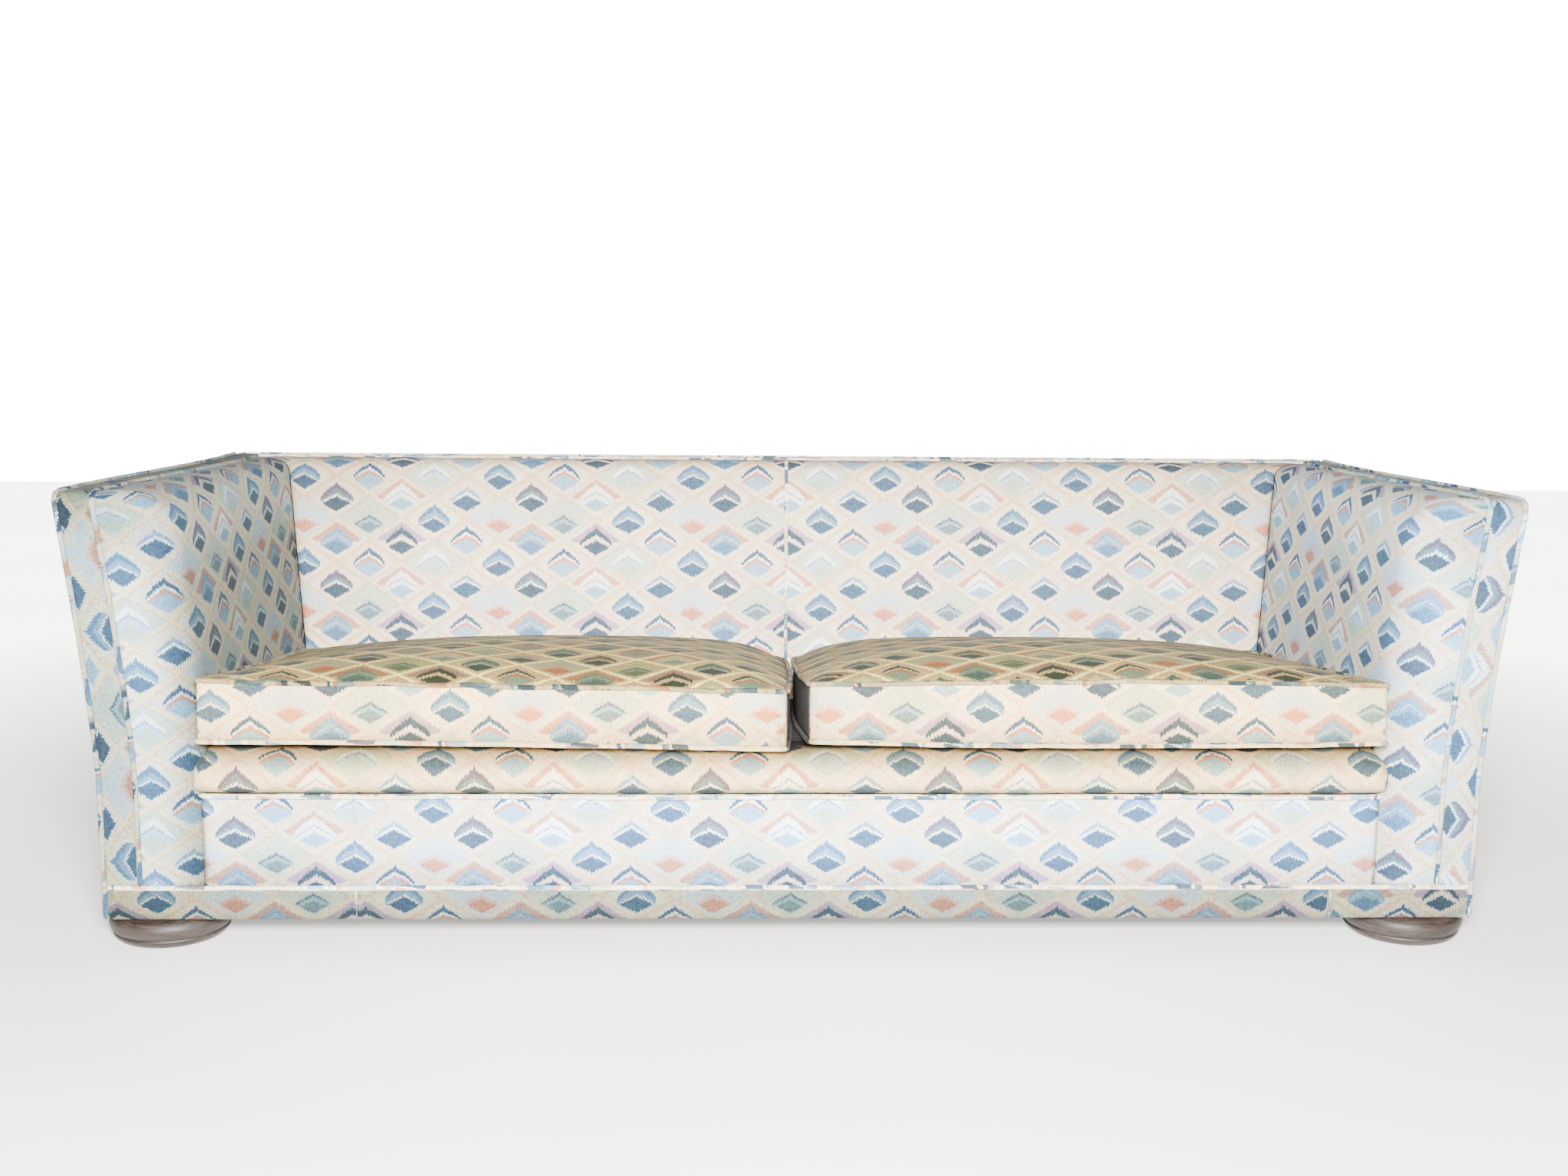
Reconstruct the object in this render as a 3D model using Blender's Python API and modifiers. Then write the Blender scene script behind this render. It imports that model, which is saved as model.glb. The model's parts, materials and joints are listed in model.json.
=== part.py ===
"""Two-seat sofa with flared box arms, two loose box cushions and bun feet.

Metres, +Z up, the seat faces -Y. The origin is on the floor under the middle of the sofa.
"""

import math

import bmesh
import bpy
from mathutils import Matrix, Vector

# Overall sizes
overall_width = 2.146
overall_depth = 0.750
overall_height = 0.690
seam_gap = 0.0003
loose_gap = 0.0006

# Base
foot_height = 0.048
foot_radius = 0.092
foot_top_radius = 0.080
foot_bottom_radius = 0.074
foot_inset_x = 0.0685
front_foot_inset_y = 0.090
rear_foot_inset_y = 0.105
base_band_height = 0.052
cover_thickness = 0.012
dust_cover_thickness = 0.0015

# Arms
arm_width = 0.1455
arm_flare = 0.0445
arm_band_width = 0.053
flare_start = 0.260
flare_run = 0.640
flare_power = 1.35
rear_flare_share = -0.35
seat_narrowing = 0.027
wall_foot = 0.360
wall_lean = math.radians(5.7)
scoop_depth = 0.050
scoop_low_depth = 0.012
scoop_full_height = 0.330
shoulder_front_drop = 0.075
shoulder_rear_drop = 0.022
band_corner_radius = 0.018
flat_share = 0.45

# Back
back_band_width = 0.052
back_top_depth = 0.111
back_lean = math.radians(8.1)
back_crown = 0.006

# Frame of hardwood
rail_thickness = 0.028
base_rail_height = 0.086
top_rail_height = 0.030
top_rail_width = 0.035
post_thickness = 0.030
post_depth = 0.039
facing_thickness = 0.025
facing_reach_share = 0.12
cover_side_room = 0.0016
seat_back_rail_height = 0.055
centre_post_width = 0.060
stretcher_width = 0.045
stretcher_height = 0.060
block_length = 0.112
block_width = 0.103
block_height = 0.030
bolt_radius = 0.004
bolt_length = 0.055
bolt_depth_in_foot = 0.028

# Seat
cushion_overhang = 0.030
cushion_front_height = 0.326
cushion_height = 0.086
cushion_crown = 0.030
cushion_draw_in = 0.007
cushion_bulge = 0.004
cushion_split = 0.026
cushion_side_clearance = 0.003
cushion_back_clearance = 0.012
seat_rake = math.radians(5.6)
roll_bottom = 0.244
roll_top = 0.317
roll_overhang = 0.022
roll_back = 0.055
roll_end_reach = 0.035
strap_count = 6
strap_width = 0.055
strap_thickness = 0.0018
strap_fall = 0.026

# Cushion cover, filling and zip
cover_skin = 0.003
zip_length = 0.600
zip_height = 0.014
zip_thickness = 0.0015
zip_end = 0.010
slider_length = 0.012
slider_height = 0.009
slider_thickness = 0.003

# Places that follow from the sizes above
base_width = overall_width - 2 * arm_flare
seat_width = base_width - 2 * arm_width
front_y = -overall_depth / 2
panel_y = front_y + cushion_overhang
rear_y = overall_depth / 2
frame_bottom = foot_height + seam_gap
band_top = frame_bottom + base_band_height
upholstery_bottom = band_top + seam_gap
frame_front = panel_y + cover_thickness + seam_gap
frame_rear = rear_y - cover_thickness - seam_gap
frame_side = base_width / 2 - cover_thickness - seam_gap
side_rail_inner = frame_side - rail_thickness
rear_rail_front = frame_rear - rail_thickness
post_rear = rear_rail_front - seam_gap
post_front = post_rear - post_depth
post_outer = side_rail_inner - seam_gap
post_inner = post_outer - post_thickness
facing_rear = frame_front + facing_thickness
rail_top_limit = overall_height - cover_thickness - seam_gap
top_rail_bottom = rail_top_limit - top_rail_height
post_top = top_rail_bottom - seam_gap
front_rail_end = seat_width / 2
facing_inner = front_rail_end + seam_gap
front_rail_rear = frame_front + rail_thickness
strap_front = frame_front
strap_rear = post_front + rail_thickness - seam_gap
strap_slope = strap_fall / (strap_rear - front_rail_rear)
front_rail_top = roll_bottom - strap_thickness - 2 * seam_gap - strap_slope * rail_thickness
seat_back_rail_top = front_rail_top - strap_fall
back_edge_y = rear_y - back_band_width
corner_y = panel_y + band_corner_radius
corner_z = overall_height - band_corner_radius

# Where rows of corners lie on the padded pieces, as shares of the stretch that they divide
turn_shares = (0.0, 0.25, flat_share, 0.68, 0.85, 0.95, 1.0)
run_steps = 6
run_shares = tuple(i / run_steps for i in range(1, run_steps + 1))
wall_row_shares = (0.0, 0.35, 0.7)
back_column_shares = (0.0, 0.2, 0.5, 0.8, 1.0)
arm_rows = 8
facing_rows = 6

# Front roll's rounded ends, and the turned foot's profile as shares of its radius and height
roll_end_swell_share = 0.55
roll_ring_shares = (0.0, 0.12, 0.4, 1.0)
roll_arc_steps = 8
foot_profile_shares = (
    (0.99, 0.86),
    (1.0, 0.62),
    (0.975, 0.40),
    (0.935, 0.24),
    (0.87, 0.08),
)
foot_sides = 24
bolt_sides = 10
bolt_hole_sides = 12

# Cushion cage: corners from one side to the other as shares of half its width and depth
across_shares = (-1.0, -0.86, -0.45, 0.0, 0.45, 0.86, 1.0)
along_shares = (-1.0, -0.82, -0.32, 0.32, 0.82, 1.0)
crown_power = 2.4
boxing_rows = 2

# Finishes: colour, roughness, metallic
patterned_fabric = ((0.86, 0.80, 0.72), 0.9, 0.0)
plain_lining = ((0.55, 0.50, 0.44), 0.95, 0.0)
black_cloth = ((0.03, 0.03, 0.03), 0.95, 0.0)
hardwood = ((0.62, 0.47, 0.31), 0.7, 0.0)
limed_oak = ((0.33, 0.23, 0.17), 0.5, 0.0)
jute = ((0.55, 0.43, 0.28), 0.95, 0.0)
foam = ((0.85, 0.80, 0.60), 0.95, 0.0)
steel = ((0.60, 0.60, 0.58), 0.35, 1.0)
brass = ((0.72, 0.56, 0.28), 0.35, 1.0)

for old in list(bpy.data.objects):
    bpy.data.objects.remove(old, do_unlink=True)

sofa = bpy.data.collections.new("sofa")
cutters = bpy.data.collections.new("cutters")
bpy.context.scene.collection.children.link(sofa)
bpy.context.scene.collection.children.link(cutters)


def add_part(name, data, finish):
    """Link one sub-part and give it a material of its own."""
    part = bpy.data.objects.new(name, data)
    sofa.objects.link(part)
    colour, roughness, metallic = finish
    material = bpy.data.materials.new(name)
    material.use_nodes = True
    shader = material.node_tree.nodes["Principled BSDF"]
    shader.inputs["Base Color"].default_value = (*colour, 1.0)
    shader.inputs["Roughness"].default_value = roughness
    shader.inputs["Metallic"].default_value = metallic
    data.materials.append(material)
    return part


def mesh_from(bm, name):
    mesh = bpy.data.meshes.new(name)
    bm.to_mesh(mesh)
    bm.free()
    return mesh


def box(name, low, high, finish):
    """Box between two corners, from a cube."""
    low, high = Vector(low), Vector(high)
    bm = bmesh.new()
    bmesh.ops.create_cube(bm, size=1.0)
    size = high - low
    bmesh.ops.transform(bm, matrix=Matrix.Diagonal((*size, 1.0)), verts=bm.verts)
    part = add_part(name, mesh_from(bm, name), finish)
    part.location = (low + high) / 2
    return part


def plate(name, outline, thickness, finish, hole=()):
    """Flat outline with an optional hole, thickened about its own plane."""
    curve = bpy.data.curves.new(name, "CURVE")
    curve.dimensions = "2D"
    curve.fill_mode = "BOTH"
    curve.extrude = thickness / 2
    for points in (outline, hole):
        if not points:
            continue
        spline = curve.splines.new("POLY")
        spline.points.add(len(points) - 1)
        for point, (x, y) in zip(spline.points, points):
            point.co = (x, y, 0.0, 1.0)
        spline.use_cyclic_u = True
    return add_part(name, curve, finish)


def grid_faces(bm, rows, kept):
    """Quads through rows of points, leaving out the cells that are not kept."""
    verts = [[bm.verts.new(point) for point in row] for row in rows]
    for i in range(len(rows) - 1):
        for j in range(len(rows[0]) - 1):
            if kept(i, j):
                bm.faces.new((verts[i][j], verts[i][j + 1], verts[i + 1][j + 1], verts[i + 1][j]))
    return verts


def all_cells(row, column):
    return True


def slab(name, outer, inner, finish, side=1, kept=all_cells):
    """Closed pad between an outer and an inner surface on the same grid."""
    bm = bmesh.new()
    top = grid_faces(bm, outer, kept)
    rim = [edge for edge in bm.edges if edge.is_boundary]
    bottom = grid_faces(bm, inner, kept)
    below = {}
    for top_row, bottom_row in zip(top, bottom):
        below.update(zip(top_row, bottom_row))
    for edge in rim:
        first, second = edge.verts
        bm.faces.new((first, second, below[second], below[first]))
    bmesh.ops.delete(bm, geom=[v for v in bm.verts if not v.link_faces], context="VERTS")
    bmesh.ops.scale(bm, vec=(side, 1.0, 1.0), verts=bm.verts)
    bmesh.ops.recalc_face_normals(bm, faces=bm.faces)
    return add_part(name, mesh_from(bm, name), finish)


def sheet(name, rows, outward, thickness, finish, side=1):
    """Open surface whose faces look outward, thickened to the inside."""
    bm = bmesh.new()
    grid_faces(bm, rows, all_cells)
    bm.normal_update()
    facing = sum((face.normal * face.calc_area() for face in bm.faces), Vector())
    if facing.dot(Vector(outward)) < 0:
        bmesh.ops.reverse_faces(bm, faces=bm.faces)
    if side < 0:
        bmesh.ops.scale(bm, vec=(side, 1.0, 1.0), verts=bm.verts)
        bmesh.ops.reverse_faces(bm, faces=bm.faces)
    part = add_part(name, mesh_from(bm, name), finish)
    solidify = part.modifiers.new("thickness", "SOLIDIFY")
    solidify.thickness = thickness
    solidify.offset = -1.0
    solidify.use_even_offset = True
    return part


def ring_loft(name, rings, finish):
    """Closed body through equal rings of points, with a flat cap at each end."""
    bm = bmesh.new()
    loops = [[bm.verts.new(point) for point in ring] for ring in rings]
    for near, far in zip(loops, loops[1:]):
        for i in range(len(near)):
            j = (i + 1) % len(near)
            bm.faces.new((near[i], near[j], far[j], far[i]))
    bm.faces.new(loops[0])
    bm.faces.new(loops[-1])
    bmesh.ops.recalc_face_normals(bm, faces=bm.faces)
    return add_part(name, mesh_from(bm, name), finish)


def between(start, end, share):
    return start + (end - start) * share


def turn_drop(share, flat=flat_share):
    """How far a padded corner has turned, 0 on its flat part and 1 at the wall."""
    turned = max(0.0, (share - flat) / (1 - flat))
    return 1 - math.sqrt(1 - turned**2)


def side_x(y, z):
    """Half-width of the arm's outer face, which flares most at the top front."""
    rise = max(0.0, z - flare_start) / (overall_height - flare_start)
    along = min(1.0, max(0.0, y - panel_y) / flare_run)
    fade = between(rear_flare_share, 1.0, 0.5 + 0.5 * math.cos(math.pi * along))
    return base_width / 2 + arm_flare * fade * rise**flare_power


def band_inner_x(y, z):
    return side_x(y, z) - arm_band_width


def wall_x(y, z):
    """Half-width between the arms' inner walls, which lean out and close in to the back."""
    rise = max(0.0, z - wall_foot)
    along = (y - panel_y) / (rear_y - panel_y)
    return seat_width / 2 + math.tan(wall_lean) * rise - seat_narrowing * along


def back_y(z):
    """Depth of the inside back's face at a height."""
    fall = overall_height - shoulder_rear_drop - z
    return rear_y - back_top_depth - math.tan(back_lean) * fall


def ease_corner(y, z, inset=0.0):
    """Round the arms' top front edge, for the cover's face or a depth under it."""
    along, up = corner_y - y, z - corner_z
    reach = math.hypot(along, up)
    radius = band_corner_radius - inset
    if along <= 0 or up <= 0 or reach <= radius:
        return y, z
    return corner_y - along * radius / reach, corner_z + up * radius / reach


def hump(share):
    """Smooth bulge that is nothing at both ends of a stretch and 1 in its middle."""
    return 4 * share * (1 - share)


def arm_depths():
    """Depths at which every piece along the arm's top has its corners."""
    return [between(corner_y, back_edge_y, share) for share in (0.0, *run_shares)]


def shoulder_welt_height(up):
    """Height on the front welt of the row that starts at a share of the shoulder."""
    return between(corner_z, overall_height - shoulder_front_drop, up)


def wall_heights(drop):
    """Heights of the inner wall's rows, from the seat up to where the shoulder begins."""
    top = overall_height - drop
    return [roll_bottom] + [between(wall_foot, top, share) for share in wall_row_shares]


def low_heights():
    """Heights of the rows beside the front panel, under the seat."""
    return [upholstery_bottom, (upholstery_bottom + roll_bottom) / 2]


def cushion_floor(y):
    """Height of the raked plane that the cushions lie on."""
    return cushion_front_height - (y - front_y) * math.tan(seat_rake)


def strap_floor(y):
    """Height of the seat straps' underside, from the front rail down to the seat back rail."""
    return front_rail_top + seam_gap - strap_slope * (y - front_rail_rear)


def base_bands():
    half, deep = base_width / 2, cover_thickness
    bottom, top = frame_bottom, band_top
    box("front_base_band", (-half, panel_y, bottom), (half, panel_y + deep, top), patterned_fabric)
    box("rear_base_band", (-half, rear_y - deep, bottom), (half, rear_y, top), patterned_fabric)
    near, far = panel_y + deep + seam_gap, rear_y - deep - seam_gap
    box("left_base_band", (-half, near, bottom), (deep - half, far, top), patterned_fabric)
    box("right_base_band", (half - deep, near, bottom), (half, far, top), patterned_fabric)


def base_frame():
    box(
        "front_rail",
        (-front_rail_end, frame_front, frame_bottom),
        (front_rail_end, front_rail_rear, front_rail_top),
        hardwood,
    )
    rail_top = frame_bottom + base_rail_height
    box(
        "rear_rail",
        (seam_gap - side_rail_inner, rear_rail_front, frame_bottom),
        (side_rail_inner - seam_gap, frame_rear, rail_top),
        hardwood,
    )
    for name, side in (("left", -1), ("right", 1)):
        inner, outer = sorted((side * side_rail_inner, side * frame_side))
        low = (inner, facing_rear + seam_gap, frame_bottom)
        box(f"{name}_side_rail", low, (outer, frame_rear, rail_top), hardwood)
        inner, outer = sorted((side * post_inner, side * post_outer))
        low = (inner, post_front, frame_bottom)
        box(f"{name}_rear_post", low, (outer, post_rear, post_top), hardwood)
    box(
        "centre_stretcher",
        (-stretcher_width / 2, front_rail_rear + seam_gap, frame_bottom),
        (stretcher_width / 2, rear_rail_front - seam_gap, frame_bottom + stretcher_height),
        hardwood,
    )
    box(
        "seat_back_rail",
        (seam_gap - post_inner, post_front, seat_back_rail_top - seat_back_rail_height),
        (post_inner - seam_gap, post_front + rail_thickness, seat_back_rail_top),
        hardwood,
    )


def back_frame():
    box(
        "back_centre_post",
        (-centre_post_width / 2, post_front, seat_back_rail_top + seam_gap),
        (centre_post_width / 2, post_rear, post_top),
        hardwood,
    )
    reach = top_rail_inner(rear_y) - seam_gap
    box(
        "back_top_rail",
        (-reach, post_front, top_rail_bottom),
        (reach, frame_rear, rail_top_limit),
        hardwood,
    )


def top_rail_outer(y):
    """Outer edge of an arm's top rail, clear of the outside cover over its whole height."""
    outer = min(side_x(y, top_rail_bottom), side_x(y, rail_top_limit))
    return outer - cover_thickness - cover_side_room


def top_rail_inner(y):
    return top_rail_outer(y) - top_rail_width


def arm_frame(name, side):
    """Facing board sawn to the flare, and the rail along the arm's top."""
    steps = range(facing_rows + 1)
    heights = [between(front_rail_top, post_top, i / facing_rows) for i in steps]

    def inner_edge(z):
        edge = band_inner_x(facing_rear, z)
        return between(edge, wall_x(facing_rear, z), facing_reach_share)

    outline = [(facing_inner, frame_bottom), (facing_inner, front_rail_top)]
    outline += [(inner_edge(z), z) for z in heights]
    inset = cover_thickness + cover_side_room
    outline += [(side_x(facing_rear, z) - inset, z) for z in heights[::-1]]
    outline += [(frame_side, frame_bottom)]
    facing = plate(
        f"{name}_arm_facing", [(side * x, z) for x, z in outline], facing_thickness, hardwood
    )
    facing.location.y = frame_front + facing_thickness / 2
    facing.rotation_euler.x = math.pi / 2

    rings = []
    for y in (*arm_depths(), frame_rear):
        inner, outer = side * top_rail_inner(y), side * top_rail_outer(y)
        corners = ((inner, top_rail_bottom), (outer, top_rail_bottom))
        corners += ((outer, rail_top_limit), (inner, rail_top_limit))
        rings.append([(x, y, z) for x, z in corners])
    ring_loft(f"{name}_arm_top_rail", rings, hardwood)


def inside_arm(name, side):
    """Cover and padding that run from the front welt round to the inner wall and over the top."""
    low_rows = len(low_heights())
    wall_rows = low_rows + len(wall_heights(shoulder_front_drop))

    def scoop(z):
        grown = min(1.0, max(0.0, z - roll_bottom) / (scoop_full_height - roll_bottom))
        return between(scoop_low_depth, scoop_depth, grown)

    def height(row, run, up, inset):
        """Height of the swept part, whose shoulder tightens towards the back."""
        drop = between(shoulder_front_drop, shoulder_rear_drop, run)
        if row < low_rows:
            return low_heights()[row]
        if row < wall_rows:
            return wall_heights(drop)[row - low_rows]
        return overall_height - inset - (drop - inset) * turn_drop(up)

    def point(row, column, inset):
        up = 1.0 if row < wall_rows else turn_shares[::-1][row - wall_rows]
        turning = column < len(turn_shares)
        out = turn_shares[column] if turning else 1.0
        run = 0.0 if turning else run_shares[column - len(turn_shares)]
        z = height(row, run, up, inset)
        depth = between(band_corner_radius, scoop(z), up) - inset
        start = panel_y + inset + depth
        face = between(back_edge_y, back_y(z), up) - seam_gap
        y = between(start, face, run)
        edge = band_inner_x(y, overall_height) - seam_gap
        x = between(edge, wall_x(y, z) + inset, up)
        if turning:
            welt_z = z if row < wall_rows else shoulder_welt_height(up)
            welt_x = band_inner_x(panel_y, welt_z) - seam_gap
            y = panel_y + inset + depth * turn_drop(out, flat_share * up)
            x, z = between(welt_x, x, out), between(welt_z, z, out)
        return x, y, z

    rows = range(wall_rows + len(turn_shares))
    columns = range(len(turn_shares) + len(run_shares))
    outer = [[point(row, column, 0.0) for column in columns] for row in rows]
    inner = [[point(row, column, cover_thickness) for column in columns] for row in rows]

    def kept(row, column):
        return row >= low_rows or column < len(turn_shares) - 1

    slab(f"{name}_inside_arm", outer, inner, patterned_fabric, side, kept)


def arm_band(name, side):
    """Boxed strip up the arm's front, over the corner and back along its top."""
    heights = low_heights() + wall_heights(shoulder_front_drop)
    heights += [shoulder_welt_height(up) for up in turn_shares[::-1]]
    path = [(panel_y, z) for z in heights]
    for out in turn_shares[1:]:
        y = panel_y + band_corner_radius * turn_drop(out, 0.0)
        path.append((y, between(corner_z, overall_height, out)))
    path += [(y, overall_height) for y in (*arm_depths()[1:], rear_y)]
    rows = [[(band_inner_x(y, z), y, z), (side_x(y, z), y, z)] for y, z in path]
    sheet(f"{name}_arm_band", rows, (0, -1, 1), cover_thickness, patterned_fabric, side)


def outside_arm(name, side):
    """Outer cover, which stops under the band at the front and along the top."""
    under = cover_thickness + seam_gap
    outer = []
    for i in range(arm_rows + 1):
        height = between(upholstery_bottom, overall_height - under, i / arm_rows)
        row = []
        for depth in (panel_y + under, *arm_depths(), rear_y - under):
            y, z = ease_corner(depth, height, under)
            row.append((side_x(y, z), y, z))
        outer.append(row)
    inner = [[(x - cover_thickness, y, z) for x, y, z in row] for row in outer]
    slab(f"{name}_outside_arm", outer, inner, patterned_fabric, side)


def outside_back():
    under = cover_thickness + seam_gap
    rows = []
    for i in range(arm_rows + 1):
        z = between(upholstery_bottom, overall_height - under, i / arm_rows)
        reach = side_x(rear_y, z)
        rows.append([(-reach, rear_y, z), (0.0, rear_y, z), (reach, rear_y, z)])
    sheet("outside_back", rows, (0, 1, 0), cover_thickness, patterned_fabric)
    rows = []
    for y in (back_edge_y, rear_y):
        reach = band_inner_x(y, overall_height) - seam_gap
        rows.append([(-reach, y, overall_height), (reach, y, overall_height)])
    sheet("back_band", rows, (0, 0, 1), cover_thickness, patterned_fabric)


def inside_back(name, side):
    """Leaning, slightly crowned pad from the seat rail to the back's top edge."""
    bottom = strap_floor(back_y(seat_back_rail_top)) + strap_thickness + seam_gap
    heights = [bottom, *wall_heights(shoulder_rear_drop)]
    rows = [(z, 1.0) for z in heights]
    for up in turn_shares[::-1]:
        rows.append((overall_height - shoulder_rear_drop * turn_drop(up), up))
    outer, inner = [], []
    for z, up in rows:
        outer_row, inner_row = [], []
        rise = min(1.0, (z - bottom) / (overall_height - shoulder_rear_drop - bottom))
        for across in back_column_shares:
            y = between(back_edge_y - seam_gap, back_y(z), up)
            edge = band_inner_x(y, overall_height)
            x = between(seam_gap / 2, between(edge, wall_x(y, z), up) - loose_gap, across)
            outer_row.append((x, y - back_crown * hump(across) * hump(rise), z))
            hidden_y = max(post_front - seam_gap, y)
            hidden_z = min(z, rail_top_limit + seam_gap)
            inner_row.append((x, hidden_y, hidden_z))
        outer.append(outer_row)
        inner.append(inner_row)
    slab(f"{name}_inside_back", outer, inner, patterned_fabric, side)


def front_seat():
    """Front panel and the padded roll above it."""
    reach = wall_x(panel_y + cover_thickness, roll_bottom) - seam_gap
    box(
        "front_panel",
        (-reach, panel_y, upholstery_bottom),
        (reach, panel_y + cover_thickness, roll_bottom - loose_gap),
        patterned_fabric,
    )
    radius = (roll_top - roll_bottom) / 2
    centre_y, centre_z = panel_y - roll_overhang + radius, roll_bottom + radius
    section = []
    for i in range(roll_arc_steps + 1):
        turn = math.pi * i / roll_arc_steps
        section.append((-math.sin(turn) * radius, -math.cos(turn) * radius))
    back = panel_y + roll_back - centre_y
    section += [(back, radius), (back, -radius)]
    reach = wall_x(panel_y + roll_back, roll_top) - loose_gap
    rings = []
    for side, shares in ((-1, roll_ring_shares), (1, roll_ring_shares[::-1])):
        for share in shares:
            swell = between(roll_end_swell_share, 1.0, math.sqrt(1 - (1 - share) ** 2))
            x = side * (reach - roll_end_reach * share)
            ring = []
            for along, up in section:
                lifted = centre_z - radius * (1 - swell) + up * swell
                ring.append((x, centre_y + along * (swell if along < 0 else 1.0), lifted))
            rings.append(ring)
    ring_loft("front_roll", rings, patterned_fabric)


def seat_deck():
    """Straps from rail to rail and the pad that the cushions lie on."""
    for i in range(strap_count):
        centre = seat_width * ((i + 0.5) / strap_count - 0.5)
        reach = strap_width / 2
        rings = []
        for y in (strap_front, strap_rear):
            low = strap_floor(y)
            high = low + strap_thickness
            corners = ((-reach, low), (reach, low), (reach, high), (-reach, high))
            rings.append([(centre + x, y, z) for x, z in corners])
        ring_loft(f"seat_strap_{i + 1}", rings, jute)
    rings = []
    near = panel_y + roll_back + seam_gap
    far_bottom = back_y(strap_floor(strap_rear)) - loose_gap
    for y in (near, far_bottom):
        low = strap_floor(y) + strap_thickness + seam_gap
        high = cushion_floor(y) - seam_gap
        reach = wall_x(y, low) - loose_gap
        rings.append([(-reach, y, low), (reach, y, low), (reach, y, high), (-reach, y, high)])
    ring_loft("seat_deck", rings, plain_lining)


def bun_foot(name, x, y):
    """Turned foot with a bead line, bored for its hanger bolt."""
    bore = bolt_radius + loose_gap
    bore_bottom = foot_height - bolt_depth_in_foot
    profile = [(0.0, bore_bottom), (bore, bore_bottom), (bore, foot_height)]
    profile += [(foot_top_radius, foot_height)]
    profile += [(foot_radius * out, foot_height * up) for out, up in foot_profile_shares]
    profile += [(foot_bottom_radius, 0.0), (0.0, 0.0)]
    bm = bmesh.new()
    verts = [bm.verts.new((radius, 0.0, height)) for radius, height in profile]
    for first, second in zip(verts, verts[1:]):
        bm.edges.new((first, second))
    foot = add_part(name, mesh_from(bm, name), limed_oak)
    foot.location = (x, y, 0.0)
    screw = foot.modifiers.new("turning", "SCREW")
    screw.steps = screw.render_steps = foot_sides
    screw.use_merge_vertices = True
    screw.merge_threshold = 0.0001
    screw.use_smooth_shade = True


def hanger_bolt(name, x, y):
    bm = bmesh.new()
    bmesh.ops.create_cone(
        bm,
        cap_ends=True,
        segments=bolt_sides,
        radius1=bolt_radius,
        radius2=bolt_radius,
        depth=bolt_length,
    )
    bolt = add_part(name, mesh_from(bm, name), steel)
    bolt.location = (x, y, foot_height - bolt_depth_in_foot + seam_gap + bolt_length / 2)


def corner_block(name, low, high, hole_centre):
    (x0, y0), (x1, y1) = low, high
    hole = []
    for i in range(bolt_hole_sides):
        turn = 2 * math.pi * i / bolt_hole_sides
        radius = bolt_radius + loose_gap
        hole_x, hole_y = math.cos(turn) * radius, math.sin(turn) * radius
        hole.append((hole_centre[0] + hole_x, hole_centre[1] + hole_y))
    outline = [(x0, y0), (x1, y0), (x1, y1), (x0, y1)]
    block = plate(name, outline, block_height, hardwood, hole)
    block.location.z = frame_bottom + block_height / 2


def feet():
    for name, side in (("left", -1), ("right", 1)):
        x = side * (base_width / 2 - foot_inset_x)
        for place in ("front", "rear"):
            if place == "front":
                y = panel_y + front_foot_inset_y
                near = facing_rear + seam_gap
            else:
                y = rear_y - rear_foot_inset_y
                near = post_front - seam_gap - block_length
            outer = side_rail_inner - seam_gap
            spans = sorted((side * (outer - block_width), side * outer))
            low, high = (spans[0], near), (spans[1], near + block_length)
            bun_foot(f"{name}_{place}_foot", x, y)
            hanger_bolt(f"{name}_{place}_foot_bolt", x, y)
            corner_block(f"{name}_{place}_corner_block", low, high, (x, y))


def dust_cover():
    """Thin cloth tacked under the rails, cut back round the four feet."""
    foot_room = foot_radius + cover_thickness
    inner_x = base_width / 2 - foot_inset_x - foot_room
    outer_x = frame_side - rail_thickness / 2
    near, far = frame_front + rail_thickness / 2, frame_rear - rail_thickness / 2
    near_step = panel_y + front_foot_inset_y + foot_room
    far_step = rear_y - rear_foot_inset_y - foot_room
    right = [(inner_x, near), (inner_x, near_step), (outer_x, near_step)]
    right += [(outer_x, far_step), (inner_x, far_step), (inner_x, far)]
    outline = right + [(-x, y) for x, y in right[::-1]]
    cloth = plate("dust_cover", outline, dust_cover_thickness, black_cloth)
    cloth.location.z = foot_height - dust_cover_thickness / 2


# Cushion, in its own frame: x from the split to the arm, y from the front back, z from the deck up
split_x = cushion_split / 2
deck_back = back_y(cushion_front_height - (overall_depth - back_top_depth) * math.tan(seat_rake))
cushion_depth = (deck_back - cushion_back_clearance - front_y) / math.cos(seat_rake)


def cushion_point(across, along, up, inset):
    """Place on the cushion from shares of its width, depth and height."""
    y = between(inset, cushion_depth - inset, (along + 1) / 2)
    arm_end = wall_x(front_y + y * math.cos(seat_rake), wall_foot) - cushion_side_clearance
    x = between(split_x + inset, arm_end - inset, (across + 1) / 2)
    z = between(inset, cushion_height - inset, up)
    if up == 1.0:
        swell = (1 - abs(across) ** crown_power) * (1 - abs(along) ** crown_power)
        z += cushion_crown * swell
    middle = 1 - (2 * up - 1) ** 2
    pull_x = cushion_draw_in * (1 - along**2) - cushion_bulge * middle
    pull_y = cushion_draw_in * (1 - across**2) - cushion_bulge * middle
    if abs(across) == 1.0:
        x -= math.copysign(pull_x, across)
    if along == -1.0:
        y += pull_y
    return x, y, z


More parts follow.
